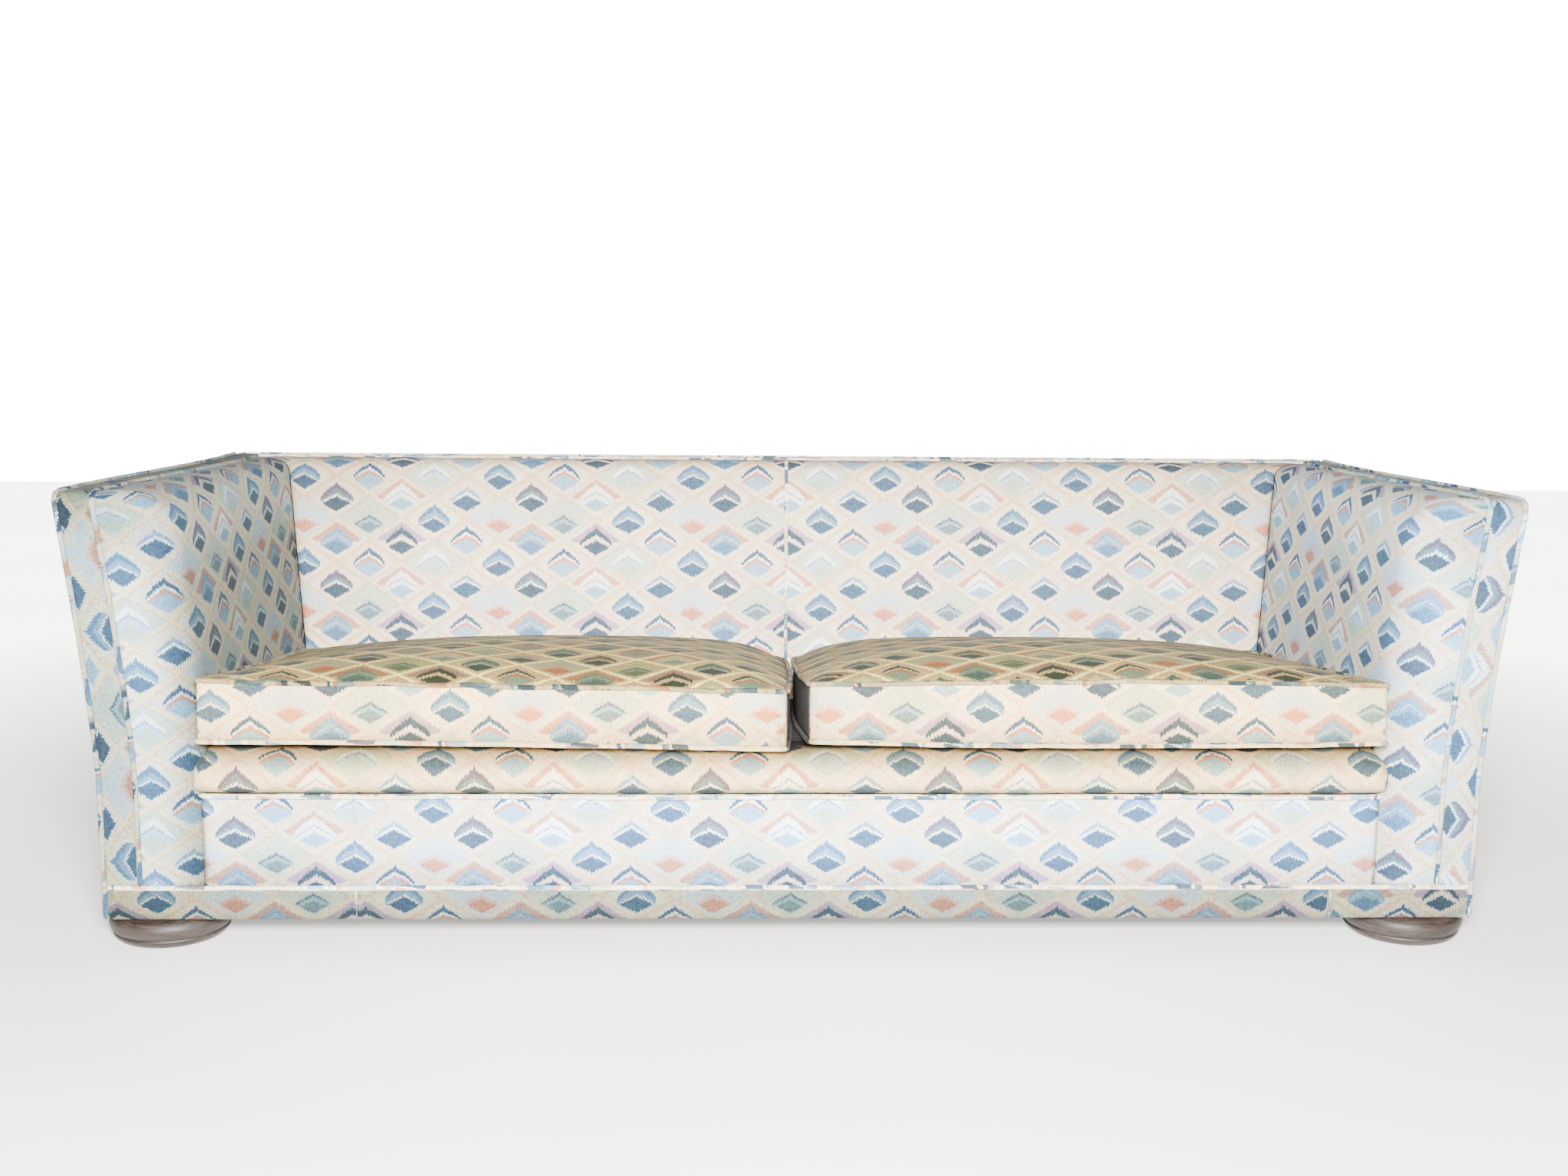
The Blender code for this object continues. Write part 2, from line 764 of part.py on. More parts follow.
def cushion_cage(name, inset, side):
    """Coarse box cage with creased seams, for subdivision."""
    bm = bmesh.new()
    columns, lines = len(across_shares), len(along_shares)
    layers = {}
    for up in [i / boxing_rows for i in range(boxing_rows + 1)]:
        for i, across in enumerate(across_shares):
            for j, along in enumerate(along_shares):
                on_rim = i in (0, columns - 1) or j in (0, lines - 1)
                if on_rim or up in (0.0, 1.0):
                    x, y, z = cushion_point(across, along, up, inset)
                    layers[up, i, j] = bm.verts.new((side * x, y, z))
    for up in (0.0, 1.0):
        for i in range(columns - 1):
            for j in range(lines - 1):
                cell = ((i, j), (i + 1, j), (i + 1, j + 1), (i, j + 1))
                bm.faces.new([layers[up, a, b] for a, b in cell])
    loop = [(i, 0) for i in range(columns)] + [(columns - 1, j) for j in range(1, lines)]
    loop += [(i, lines - 1) for i in range(columns - 2, -1, -1)]
    loop += [(0, j) for j in range(lines - 2, 0, -1)]
    for row in range(boxing_rows):
        low, high = row / boxing_rows, (row + 1) / boxing_rows
        for (a, b), (c, d) in zip(loop, loop[1:] + loop[:1]):
            corners = (layers[low, a, b], layers[low, c, d], layers[high, c, d], layers[high, a, b])
            bm.faces.new(corners)
    bmesh.ops.recalc_face_normals(bm, faces=bm.faces)
    crease = bm.edges.layers.float.new("crease_edge")
    for up in (0.0, 1.0):
        for first, second in zip(loop, loop[1:] + loop[:1]):
            edge = bm.edges.get((layers[up, *first], layers[up, *second]))
            edge[crease] = 1.0
    return mesh_from(bm, name)


def lay_in_seat(part):
    """Rest a cushion piece on the raked deck."""
    part.location = (0.0, front_y, cushion_front_height)
    part.rotation_euler.x = -seat_rake


def soften(part):
    subdivision = part.modifiers.new("soft", "SUBSURF")
    subdivision.levels = subdivision.render_levels = 1


def local_box(name, low, high, finish, side):
    """Box in the cushion's frame, on the side of the sofa that the cushion is on."""
    x0, x1 = sorted((side * low[0], side * high[0]))
    part = box(name, (x0, low[1], low[2]), (x1, high[1], high[2]), finish)
    tilt = Matrix.Rotation(-seat_rake, 4, "X")
    part.location = tilt @ part.location + Vector((0.0, front_y, cushion_front_height))
    part.rotation_euler.x = -seat_rake
    return part


def seat_cushion(name, side):
    """Sewn cover with a zip slot at the back, its filling, the zip and the slider."""
    cover = add_part(
        f"{name}_cushion_cover",
        cushion_cage(f"{name}_cushion_cover", 0.0, side),
        patterned_fabric,
    )
    lay_in_seat(cover)
    soften(cover)
    skin = cover.modifiers.new("skin", "SOLIDIFY")
    skin.thickness = cover_skin
    skin.offset = -1.0
    skin.use_even_offset = True

    middle_x = (split_x + wall_x(rear_y - back_top_depth, wall_foot)) / 2
    middle_z = cushion_height / 2
    low_x, high_x = middle_x - zip_length / 2, middle_x + zip_length / 2
    low_z, high_z = middle_z - zip_height / 2, middle_z + zip_height / 2
    slot = local_box(
        f"{name}_zip_slot",
        (low_x - seam_gap, cushion_depth - 2 * cover_skin, low_z - seam_gap),
        (high_x + seam_gap, cushion_depth + cover_skin, high_z + seam_gap),
        steel,
        side,
    )
    sofa.objects.unlink(slot)
    cutters.objects.link(slot)
    slot.hide_render = True
    slot.display_type = "WIRE"
    cut = cover.modifiers.new("zip slot", "BOOLEAN")
    cut.operation = "DIFFERENCE"
    cut.object = slot

    core_name = f"{name}_cushion_core"
    core = add_part(core_name, cushion_cage(core_name, cover_skin + loose_gap, side), foam)
    lay_in_seat(core)
    soften(core)

    zip_inner = cushion_depth - cover_skin
    zip_outer = zip_inner + zip_thickness
    local_box(
        f"{name}_zip", (low_x, zip_inner, low_z), (high_x, zip_outer, high_z), plain_lining, side
    )
    slider_y = zip_outer + seam_gap
    slider_x = high_x - zip_end
    local_box(
        f"{name}_zip_slider",
        (slider_x - slider_length, slider_y, middle_z - slider_height / 2),
        (slider_x, slider_y + slider_thickness, middle_z + slider_height / 2),
        brass,
        side,
    )


def build_sofa():
    base_bands()
    base_frame()
    back_frame()
    feet()
    dust_cover()
    front_seat()
    seat_deck()
    outside_back()
    for name, side in (("left", -1), ("right", 1)):
        arm_frame(name, side)
        inside_arm(name, side)
        arm_band(name, side)
        outside_arm(name, side)
        inside_back(name, side)
        seat_cushion(name, side)


build_sofa()
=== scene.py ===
"""Two-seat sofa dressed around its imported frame: covers, welts, cushions, zips, feet and finishes.

Metres, +Z up, the seat faces -Y, the origin is on the floor under the middle of the sofa.
Shapes are worked out for the right side; side is -1 on the left and +1 on the right.
"""

import json
import math

import bpy
import numpy as np
from mathutils import Matrix, Vector, noise

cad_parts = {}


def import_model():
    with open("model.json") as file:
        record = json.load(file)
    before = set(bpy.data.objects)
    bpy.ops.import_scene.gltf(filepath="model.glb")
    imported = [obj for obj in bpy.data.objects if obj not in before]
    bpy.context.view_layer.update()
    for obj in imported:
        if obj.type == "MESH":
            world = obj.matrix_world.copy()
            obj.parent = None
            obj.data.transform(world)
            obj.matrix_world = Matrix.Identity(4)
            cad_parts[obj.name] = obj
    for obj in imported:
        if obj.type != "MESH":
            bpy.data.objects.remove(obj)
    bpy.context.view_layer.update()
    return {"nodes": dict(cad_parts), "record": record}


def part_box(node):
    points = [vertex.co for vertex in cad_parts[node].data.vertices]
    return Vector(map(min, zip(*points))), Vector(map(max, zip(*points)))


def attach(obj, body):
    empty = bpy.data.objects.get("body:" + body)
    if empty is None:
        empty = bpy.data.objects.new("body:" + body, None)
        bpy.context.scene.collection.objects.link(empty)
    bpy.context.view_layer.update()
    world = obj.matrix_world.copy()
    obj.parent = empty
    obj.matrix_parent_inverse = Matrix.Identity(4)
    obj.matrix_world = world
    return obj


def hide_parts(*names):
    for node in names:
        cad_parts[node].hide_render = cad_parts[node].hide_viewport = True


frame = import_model()

both_sides = (("left", -1), ("right", 1))

# Sizes that the covers share with the frame
overall_width = 2.146
overall_depth = 0.750
overall_height = 0.690
foot_height = 0.048
foot_radius = 0.092
foot_inset_x = 0.0685
front_foot_inset_y = 0.090
rear_foot_inset_y = 0.105
base_band_height = 0.052
cover_thickness = 0.012
arm_width = 0.1455
arm_flare = 0.0445
arm_band_width = 0.053
flare_start = 0.260
flare_run = 0.640
flare_power = 1.35
rear_flare_share = -0.35
seat_narrowing = 0.027
wall_foot = 0.360
wall_lean = math.radians(5.7)
scoop_depth = 0.050
scoop_low_depth = 0.012
scoop_full_height = 0.330
shoulder_front_drop = 0.075
shoulder_rear_drop = 0.022
band_corner_radius = 0.018
flat_share = 0.45
back_band_width = 0.052
back_top_depth = 0.111
back_lean = math.radians(8.1)
back_crown = 0.006
cushion_overhang = 0.030
cushion_front_height = 0.326
cushion_height = 0.086
cushion_split = 0.026
cushion_side_clearance = 0.003
cushion_back_clearance = 0.012
seat_rake = math.radians(5.6)
roll_bottom = 0.244
roll_top = 0.317
roll_overhang = 0.022
roll_back = 0.055
rail_thickness = 0.028
strap_count = 6
strap_thickness = 0.0018
strap_fall = 0.026
zip_length = 0.600
zip_end = 0.010
slider_length = 0.012
seam_gap = 0.0003

base_width = overall_width - 2 * arm_flare
seat_width = base_width - 2 * arm_width
front_y = -overall_depth / 2
panel_y = front_y + cushion_overhang
rear_y = overall_depth / 2
frame_bottom = foot_height + seam_gap
band_top = frame_bottom + base_band_height
upholstery_bottom = band_top + seam_gap
frame_front = panel_y + cover_thickness + seam_gap
frame_rear = rear_y - cover_thickness - seam_gap
frame_side = base_width / 2 - cover_thickness - seam_gap
back_edge_y = rear_y - back_band_width
corner_y = panel_y + band_corner_radius
corner_z = overall_height - band_corner_radius
top_z = overall_height - shoulder_rear_drop

# Woven pattern: columns and rows of flame motifs, and how the arms' cloth is stretched up
column_pitch = 0.1155
row_pitch = 0.0383
arm_stretch = row_pitch / 0.0398

# Covers and welts
cloth_depth = 0.005
welt_radius = 0.0040
welt_step = 0.006
welt_proud = 0.00072
welt_foot = frame_bottom + 0.004
back_panel_foot = 0.215
tuck_width = 0.016
deck_rear_y = 0.230
strap_rear_y = 0.339
dust_cloth_middle_y = 0.015
dust_cloth_half_depth = 0.334

# Joins in the front base band: place, how far the cloth is shifted beyond it, and how far lifted
base_joins = (("left", -0.657, 0.0196, 0.0), ("right", 0.813, 0.1054, -row_pitch))
base_end_radius = 0.006

# Where a motif's centre lies on each cover, along and up its cloth; the motif's column and row;
# and how far the cloth is stretched along and up
motif_places = {
    "left_inside_arm": (0.024, 0.4239, 0, 2, 1.0, arm_stretch),
    "right_inside_arm": (-0.068, 0.4539, 1.5, 1, 1.0, arm_stretch),
    "left_arm_band": (0.4886, 0.019, 0, 2),
    "right_arm_band": (-0.5531, 0.023, 1.5, 1),
    "left_outside_arm": (0.0, 0.40, 0, 2),
    "right_outside_arm": (0.0, 0.40, 0, 2),
    "left_inside_back": (0.063, 0.604, 0, 2, 1.0, 0.985),
    "right_inside_back": (0.063, 0.604, 0, 2, 1.0, 0.985),
    "back_band": (0.058, rear_y - 0.01, 0, 2),
    "outside_back": (0.0, 0.40, 0, 2),
    "front_base_band": (0.1072 + base_width / 2, 0.0880, 0, 2),
    "rear_base_band": (0.3, 0.0880, 0, 2),
    "right_base_band": (0.1, 0.0880, 0, 2),
    "left_base_band": (0.2, 0.0880, 0, 2),
    "front_panel": (0.0450, 0.1500, 0, 2, 0.987),
    "front_roll": (0.1600, 0.0877, 1, 0, 1.0, 0.82),
}

# The same for each cushion's top and boxing, along and up only
cushion_motif_places = {
    -1: ((-0.4734, 0.0678), (-0.5094, 0.0590)),
    1: ((0.0952, 0.0756), (0.2757, 0.0595)),
}

# How far each arm's cloth is darkened: round its front, all over, on its band and on its welts; mostly
# painted shade, heavier on the more shaded left arm, and partly soil
arm_shade_and_soil = {-1: (0.67, 0.2, 0.7, 0.65), 1: (0.39, 0.05, 0.35, 0.45)}

# Front roll
roll_reach = 0.892
roll_end_radius = 0.034
roll_radius = (roll_top - roll_bottom) / 2

# Cushions
split_x = cushion_split / 2
seam_inset = 0.0045
boxing_rows = 10
cushion_columns = 86
cushion_lines = 62
seam_step = 0.0098
top_crown = 0.033
top_cap, bottom_cap, boxing_cap = 0.028, 0.004, 0.0065
cloth_settings = {
    "quality": 6,
    "mass": 0.35,
    "tension_stiffness": 25,
    "compression_stiffness": 25,
    "shear_stiffness": 12,
    "bending_stiffness": 1.2,
    "use_pressure": True,
    "uniform_pressure_force": 4.0,
    "vertex_group_mass": "seam",
    "pin_stiffness": 1.0,
}


def between(start, end, share):
    return start + (end - start) * share


def ease(values, start, end):
    """0 at start and 1 at end, with smooth ends."""
    share = np.clip((np.asarray(values, float) - start) / (end - start), 0, 1)
    return share * share * (3 - 2 * share)


def steps(count, start=0.0, end=1.0):
    return [between(start, end, i / count) for i in range(count + 1)]


def turn_drop(share, flat=flat_share):
    """How far a padded corner has fallen at a share of its width; it is flat before its turn."""
    turned = max(0.0, (share - flat) / (1 - flat))
    return 1 - math.sqrt(max(0.0, 1 - turned**2))


def turn_steps(flat_count, turn_count, flat=flat_share):
    """Shares along a padded corner: evenly over its flat part, then evenly round its turn."""
    shares = [flat * i / flat_count for i in range(flat_count)]
    turns = [math.sin(math.pi / 2 * i / turn_count) for i in range(turn_count + 1)]
    return shares + [flat + (1 - flat) * turn for turn in turns]


def side_x(y, z):
    """Half-width of the arm's outer face, which flares most at the top front."""
    rise = max(0.0, z - flare_start) / (overall_height - flare_start)
    along = min(1.0, max(0.0, y - panel_y) / flare_run)
    fade = between(rear_flare_share, 1.0, 0.5 + 0.5 * math.cos(math.pi * along))
    return base_width / 2 + arm_flare * fade * rise**flare_power


def band_inner_x(y, z):
    return side_x(y, z) - arm_band_width


def wall_x(y, z):
    """Half-width between the arms' inner walls."""
    rise = max(0.0, z - wall_foot)
    along = (y - panel_y) / (rear_y - panel_y)
    return seat_width / 2 + math.tan(wall_lean) * rise - seat_narrowing * along


def back_y(z):
    return rear_y - back_top_depth - math.tan(back_lean) * (top_z - z)


def cushion_floor(y):
    return cushion_front_height - (y - front_y) * math.tan(seat_rake)


# Mesh helpers


def hum(x, y, z):
    """Smooth noise at one place."""
    return noise.noise(Vector((x, y, z)))


def grid(rows, columns, place):
    """Points for every row and column."""
    return np.array([[place(row, column) for column in columns] for row in rows], float)


def stack(*values):
    return np.stack([value + np.zeros_like(values[0]) for value in values], axis=-1)


def mirrored(points, side):
    return points * np.array((side, 1.0, 1.0))


def arc_lengths(points, axis):
    """Running length along one direction of a grid of points."""
    gaps = np.linalg.norm(np.diff(points, axis=axis), axis=2)
    lengths = np.cumsum(gaps, axis=axis)
    first = np.zeros_like(np.take(lengths, [0], axis=axis))
    return np.concatenate((first, lengths), axis=axis)


def grid_normals(points, core):
    """Unit normals of a grid, on the side away from the core point."""
    normals = np.cross(np.gradient(points, axis=1), np.gradient(points, axis=0))
    normals /= np.maximum(np.linalg.norm(normals, axis=2, keepdims=True), 1e-9)
    if ((points - np.array(core)) * normals).sum() < 0:
        return -normals, True
    return normals, False


def relax(points, rounds, held_row):
    """Even out the inside of a grid; its rim and the held row stay."""
    for _ in range(rounds):
        middle = (points[:-2, 1:-1] + points[2:, 1:-1] + points[1:-1, :-2] + points[1:-1, 2:]) / 4
        kept = points[held_row].copy()
        points[1:-1, 1:-1] = (points[1:-1, 1:-1] + middle) / 2
        points[held_row] = kept


def ripple(points, wavelength, seed):
    """Smooth noise from -1 to 1 at every point."""
    shift = Vector((seed * 3.7, seed * 1.3, -seed * 2.1))
    flat = points.reshape(-1, 3) / wavelength
    values = [noise.noise(Vector(p) + shift) for p in flat]
    return np.array(values).reshape(points.shape[:-1])


def soften(points, core, seed, swell=0.0015, wave=0.0012, reach=0.035):
    """Let a cover stand proud of its rim and undulate as padding does."""
    across, up = arc_lengths(points, 1), arc_lengths(points, 0)
    near = np.minimum(np.minimum(across, across[:, -1:] - across), np.minimum(up, up[-1:] - up))
    normals, _ = grid_normals(points, core)
    lift = swell + wave * ripple(points, 0.11, seed) + 0.35 * wave * ripple(points, 0.035, seed + 5)
    return points + normals * (lift * ease(near, 0, reach))[..., None]


def finish_mesh(name, verts, faces, corners, smooth, material):
    """Mesh object whose corners carry cloth lengths in metres and, if given, soil with painted shade and
    painted shadow.
    """
    mesh = bpy.data.meshes.new(name)
    mesh.from_pydata([tuple(v) for v in verts], [], faces)
    corners = np.array(corners, float)
    shade_and_soil = np.zeros((len(corners), 2))
    shade_and_soil[:, : corners.shape[1] - 2] = corners[:, 2:]
    mesh.uv_layers.new(name="cloth").data.foreach_set("uv", corners[:, :2].ravel())
    mesh.uv_layers.new(name="shade_and_soil").data.foreach_set("uv", shade_and_soil.ravel())
    mesh.polygons.foreach_set("use_smooth", smooth)
    mesh.materials.append(material)
    mesh.update()
    piece = bpy.data.objects.new(name, mesh)
    bpy.context.scene.collection.objects.link(piece)
    return piece


def slab(name, outer, inner, cloth, material, flipped=False, kept=None):
    """Closed shell between two grids of points."""
    rows, columns = outer.shape[:2]
    count = rows * columns
    faces, border = [], {}
    for i in range(rows - 1):
        for j in range(columns - 1):
            if kept is not None and not kept(i, j):
                continue
            a = i * columns + j
            face = (a, a + 1, a + columns + 1, a + columns)
            if flipped:
                face = face[::-1]
            faces.append(face)
            for first, second in zip(face, face[1:] + face[:1]):
                if not border.pop((second, first), False):
                    border[first, second] = True
    faces += [tuple(v + count for v in face[::-1]) for face in faces]
    smooth = [True] * len(faces) + [False] * len(border)
    faces += [(second, first, first + count, second + count) for first, second in border]
    used = sorted({v for face in faces for v in face})
    renumber = {v: i for i, v in enumerate(used)}
    verts = np.concatenate((outer.reshape(-1, 3), inner.reshape(-1, 3)))
    flat_cloth = cloth.reshape(count, -1)
    corners = [flat_cloth[v % count] for face in faces for v in face]
    faces = [tuple(renumber[v] for v in face) for face in faces]
    return finish_mesh(name, verts[used], faces, corners, smooth, material)


def shell(name, points, cloth, core, material, depth=cloth_depth, kept=None):
    """Cover of even thickness behind a grid of points; core is a point inside what it covers."""
    normals, reversed_order = grid_normals(points, core)
    return slab(name, points, points - normals * depth, cloth, material, reversed_order, kept)


def resample(path, step, closed=False):
    path = np.array(path, float)
    if closed:
        path = np.concatenate((path, path[:1]))
    gaps = np.linalg.norm(np.diff(path, axis=0), axis=1)
    reach = np.concatenate(([0.0], np.cumsum(gaps)))
    count = max(4, int(round(reach[-1] / step)))
    places = np.linspace(0, reach[-1], count + 1)
    if closed:
        places = places[:-1]
    return np.stack([np.interp(places, reach, path[:, k]) for k in range(3)], axis=1)


def tube(
    name, path, material, radius=welt_radius, closed=False, sides=10,
    seed=1, wobble=0.0004, welt_shade_and_soil=0.1, dark=None,
):
    """Covered cord along a path, cut on the bias, with rounded ends."""
    path = resample(path, welt_step, closed)
    count = len(path)
    for _ in range(2):
        smoothed = (np.roll(path, 1, 0) + np.roll(path, -1, 0) + 2 * path) / 4
        if not closed:
            smoothed[[0, -1]] = path[[0, -1]]
        path = smoothed
    if closed:
        tangents = np.roll(path, -1, 0) - np.roll(path, 1, 0)
    else:
        tangents = np.gradient(path, axis=0)
    tangents /= np.linalg.norm(tangents, axis=1, keepdims=True)
    lengths = np.concatenate(([0.0], np.cumsum(np.linalg.norm(np.diff(path, axis=0), axis=1))))
    normal = np.cross(tangents[0], (0.31, 0.52, 0.79))
    turns = [2 * math.pi * k / sides for k in range(sides)]
    verts = []
    for i in range(count):
        normal = normal - tangents[i] * normal.dot(tangents[i])
        normal = normal / np.linalg.norm(normal)
        other = np.cross(tangents[i], normal)
        place = Vector((lengths[i] * 22, seed * 7.3, 0.0))
        stray = normal * noise.noise(place) + other * noise.noise(place + Vector((0, 31, 0)))
        centre = path[i] + wobble * stray
        size = radius * (1 + 0.07 * noise.noise(place * 2.3))
        if not closed:
            end = min(lengths[i], lengths[-1] - lengths[i]) / radius
            size *= math.sqrt(max(0.04, 1 - max(0.0, 1 - end) ** 2))
        verts += [centre + size * (math.cos(turn) * normal + math.sin(turn) * other) for turn in turns]
    faces, corners = [], []
    wrap = 2 * math.pi * radius / sides
    start = seed * 0.061
    for i in range(count if closed else count - 1):
        j = (i + 1) % count
        near, far = lengths[i], lengths[i] + np.linalg.norm(path[j] - path[i])
        # Each ring is painted near black as shadow where a dark function is given, and darkened evenly by
        # welt_shade_and_soil, partly painted shade.
        painted_shadow = dark(path[i]) if dark else 0.0
        for k in range(sides):
            m = (k + 1) % sides
            faces.append((i * sides + k, i * sides + m, j * sides + m, j * sides + k))
            for along, turn in ((near, k), (near, k + 1), (far, k + 1), (far, k)):
                around = turn * wrap
                corners.append((start + (along + around) * 0.7071, (along - around) * 0.7071, welt_shade_and_soil, painted_shadow))
    if not closed:
        for ring, order in ((0, -1), (count - 1, 1)):
            faces.append(tuple(ring * sides + k for k in range(sides))[::order])
            corners += [(start, 0.0, welt_shade_and_soil, 0.0)] * sides
    return finish_mesh(name, verts, faces, corners, [True] * len(faces), material)


def phase(cloth, u_at, v_at, column, row, u_scale=1.0, v_scale=1.0):
    """Shift cloth lengths so that one motif's centre lies at (u_at, v_at)."""
    moved = cloth.copy()
    moved[..., 0] = (cloth[..., 0] - u_at) * u_scale + column * column_pitch
    moved[..., 1] = (cloth[..., 1] - v_at) * v_scale - row * row_pitch
    return moved


def dress(piece, body, nodes=()):
    """Fix a piece to its body and hide the frame parts it stands in for."""
    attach(piece, body)
    if nodes:
        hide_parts(*nodes)


def cover(node, points, cloth, core, material, kept=None):
    """Padded fabric cover on the frame in place of its solid."""
    cloth = phase(cloth, *motif_places[node])
    piece = shell(f"{node}_cover", points, cloth, core, material, kept=kept)
    dress(piece, "frame", [node])


def welt(name, path, material, body="frame", **settings):
    dress(tube(name, path, material, **settings), body)


# Materials


def rgb(code):
    """Linear colour from a hex code."""
    values = [int(code[i : i + 2], 16) / 255 for i in (0, 2, 4)]
    linear = [v / 12.92 if v <= 0.04045 else ((v + 0.055) / 1.055) ** 2.4 for v in values]
    return (*linear, 1.0)


class Wire:
    """One output of a node; arithmetic on it makes math nodes."""

    def __init__(self, graph, socket):
        self.graph, self.socket = graph, socket

    def __add__(self, other):
        return self.graph.math("ADD", self, other)

    def __sub__(self, other):
        return self.graph.math("SUBTRACT", self, other)

    def __rsub__(self, other):
        return self.graph.math("SUBTRACT", other, self)

    def __mul__(self, other):
        return self.graph.math("MULTIPLY", self, other)

    def __truediv__(self, other):
        return self.graph.math("DIVIDE", self, other)

    def __gt__(self, other):
        return self.graph.math("GREATER_THAN", self, other)

    def __lt__(self, other):
        return self.graph.math("LESS_THAN", self, other)

    def __abs__(self):
        return self.graph.math("ABSOLUTE", self)


class Graph:
    """Short calls for a material's nodes."""

    def __init__(self, name):
        self.material = bpy.data.materials.new(name)
        self.material.use_nodes = True
        self.tree = self.material.node_tree
        self.shader = self.tree.nodes["Principled BSDF"]

    def put(self, socket, value):
        if isinstance(value, Wire):
            self.tree.links.new(value.socket, socket)
        else:
            socket.default_value = value

    def node(self, kind, inputs=None, **settings):
        made = self.tree.nodes.new(kind)
        for key, value in settings.items():
            setattr(made, key, value)
        for key, value in (inputs or {}).items():
            self.put(made.inputs[key], value)
        return made

    def outputs(self, made):
        return [Wire(self, socket) for socket in made.outputs]

    def math(self, operation, *values, **settings):
        made = self.node("ShaderNodeMath", dict(enumerate(values)), operation=operation, **settings)
        return Wire(self, made.outputs[0])

    def fold(self, value, scale):
        """Zigzag from 0 to the scale and back, as threads lie side by side."""
        return self.math("PINGPONG", value, scale)

    def soft(self, larger, smaller, sharpness):
        """0 to 1 as one value passes the other."""
        gap = self.math("SUBTRACT", larger, smaller)
        return self.math("MULTIPLY_ADD", gap, sharpness, 0.5, use_clamp=True)

    def place(self):
        return Wire(self, self.node("ShaderNodeTexCoord").outputs["Object"])

    def uv(self, name):
        return Wire(self, self.node("ShaderNodeUVMap", uv_map=name).outputs[0])

    def parts(self, vector):
        return self.outputs(self.node("ShaderNodeSeparateXYZ", {0: vector}))

    def scaled(self, vector, scale):
        made = self.node("ShaderNodeVectorMath", {0: vector, 1: scale}, operation="MULTIPLY")
        return Wire(self, made.outputs[0])

    def mix(self, share, first, second, blend="MIX"):
        inputs = {0: share, 6: first, 7: second}
        return Wire(self, self.node("ShaderNodeMix", inputs, data_type="RGBA", blend_type=blend).outputs[2])

    def ramp(self, value, stops, mode="LINEAR"):
        """Colour and alpha of a ramp with (place, colour) stops."""
        made = self.node("ShaderNodeValToRGB", {0: value})
        made.color_ramp.interpolation = mode
        elements = made.color_ramp.elements
        while len(elements) < len(stops):
            elements.new(1.0)
        for element, (place, colour) in zip(elements, stops):
            element.position = place
            element.color = colour
        return self.outputs(made)

    def tone(self, value, low, first, high, second):
        return self.ramp(value, [(low, rgb(first)), (high, rgb(second))])[0]

    def noise(self, vector, scale, detail=2.0, roughness=0.5, output="Fac"):
        inputs = {"Vector": vector, "Scale": scale, "Detail": detail, "Roughness": roughness}
        return Wire(self, self.node("ShaderNodeTexNoise", inputs).outputs[output])

    def bump(self, height, strength, distance):
        inputs = {"Strength": strength, "Distance": distance, "Height": height}
        return Wire(self, self.node("ShaderNodeBump", inputs).outputs[0])

    def set(self, **values):
        for key, value in values.items():
            self.put(self.shader.inputs[key.replace("_", " ")], value)
        return self.material


# Dyes
ivory, peach, pink = rgb("F6E7C9"), rgb("E0AE7C"), rgb("F1D8C6")
salmon, lilac, white = rgb("CE8A72"), rgb("A486A0"), rgb("FDFCF6")
pale_blue, mid_blue, slate = rgb("93B3C6"), rgb("5C7C98"), rgb("4A6076")
dark_slate, mauve, pale_green = rgb("475663"), rgb("6C6172"), rgb("BCCAB6")
sage, pale_sky, light_blue = rgb("8FA398"), rgb("BCD1DE"), rgb("809CB4")
rose, dim_lilac, blush = rgb("C2806F"), rgb("737088"), rgb("E2B5A2")
dusk, grey_green, sand = rgb("D3BECB"), rgb("6E8286"), rgb("E4C898")

# Motifs: field, halo, three bands, core, and the levels where halo, bands and core begin
motifs = {
    "T1": (ivory, peach, mid_blue, light_blue, white, slate, (0.86, 0.96, 0.62, 0.30, 0.21)),
    "T2": (pink, peach, slate, white, salmon, pale_blue, (0.86, 0.96, 0.66, 0.50, 0.28)),
    "T3": (pale_green, sage, white, dim_lilac, pale_sky, pale_green, (0.90, 0.96, 0.56, 0.48, 0.16)),
    "T4": (ivory, salmon, white, dim_lilac, white, pale_blue, (0.45, 0.96, 0.52, 0.44, 0.12)),
    "T5": (pink, peach, mauve, grey_green, white, dark_slate, (0.86, 0.96, 0.66, 0.36, 0.22)),
    "T6": (pink, peach, light_blue, white, slate, slate, (0.86, 0.70, 0.46, 0.30, 0.18)),
    "T7": (pale_sky, pale_sky, pink, dusk, blush, salmon, (0.95, 0.44, 0.34, 0.24, 0.08)),
    "T8": (pale_green, sage, slate, sage, pale_blue, grey_green, (0.90, 0.36, 0.24, 0.14, -0.10)),
    "T4b": (ivory, rose, light_blue, pale_sky, light_blue, mid_blue, (0.40, 0.90, 0.50, 0.42, 0.16)),
    "T5b": (pink, lilac, dark_slate, pink, ivory, dark_slate, (0.40, 0.90, 0.50, 0.24, 0.18)),
}
motif_order = ("T3", "T1", "T2", "T6", "T5", "T4", "T1", "T7", "T8", "T2", "T4b", "T5b")
motif_rows, motif_columns = 4, 3


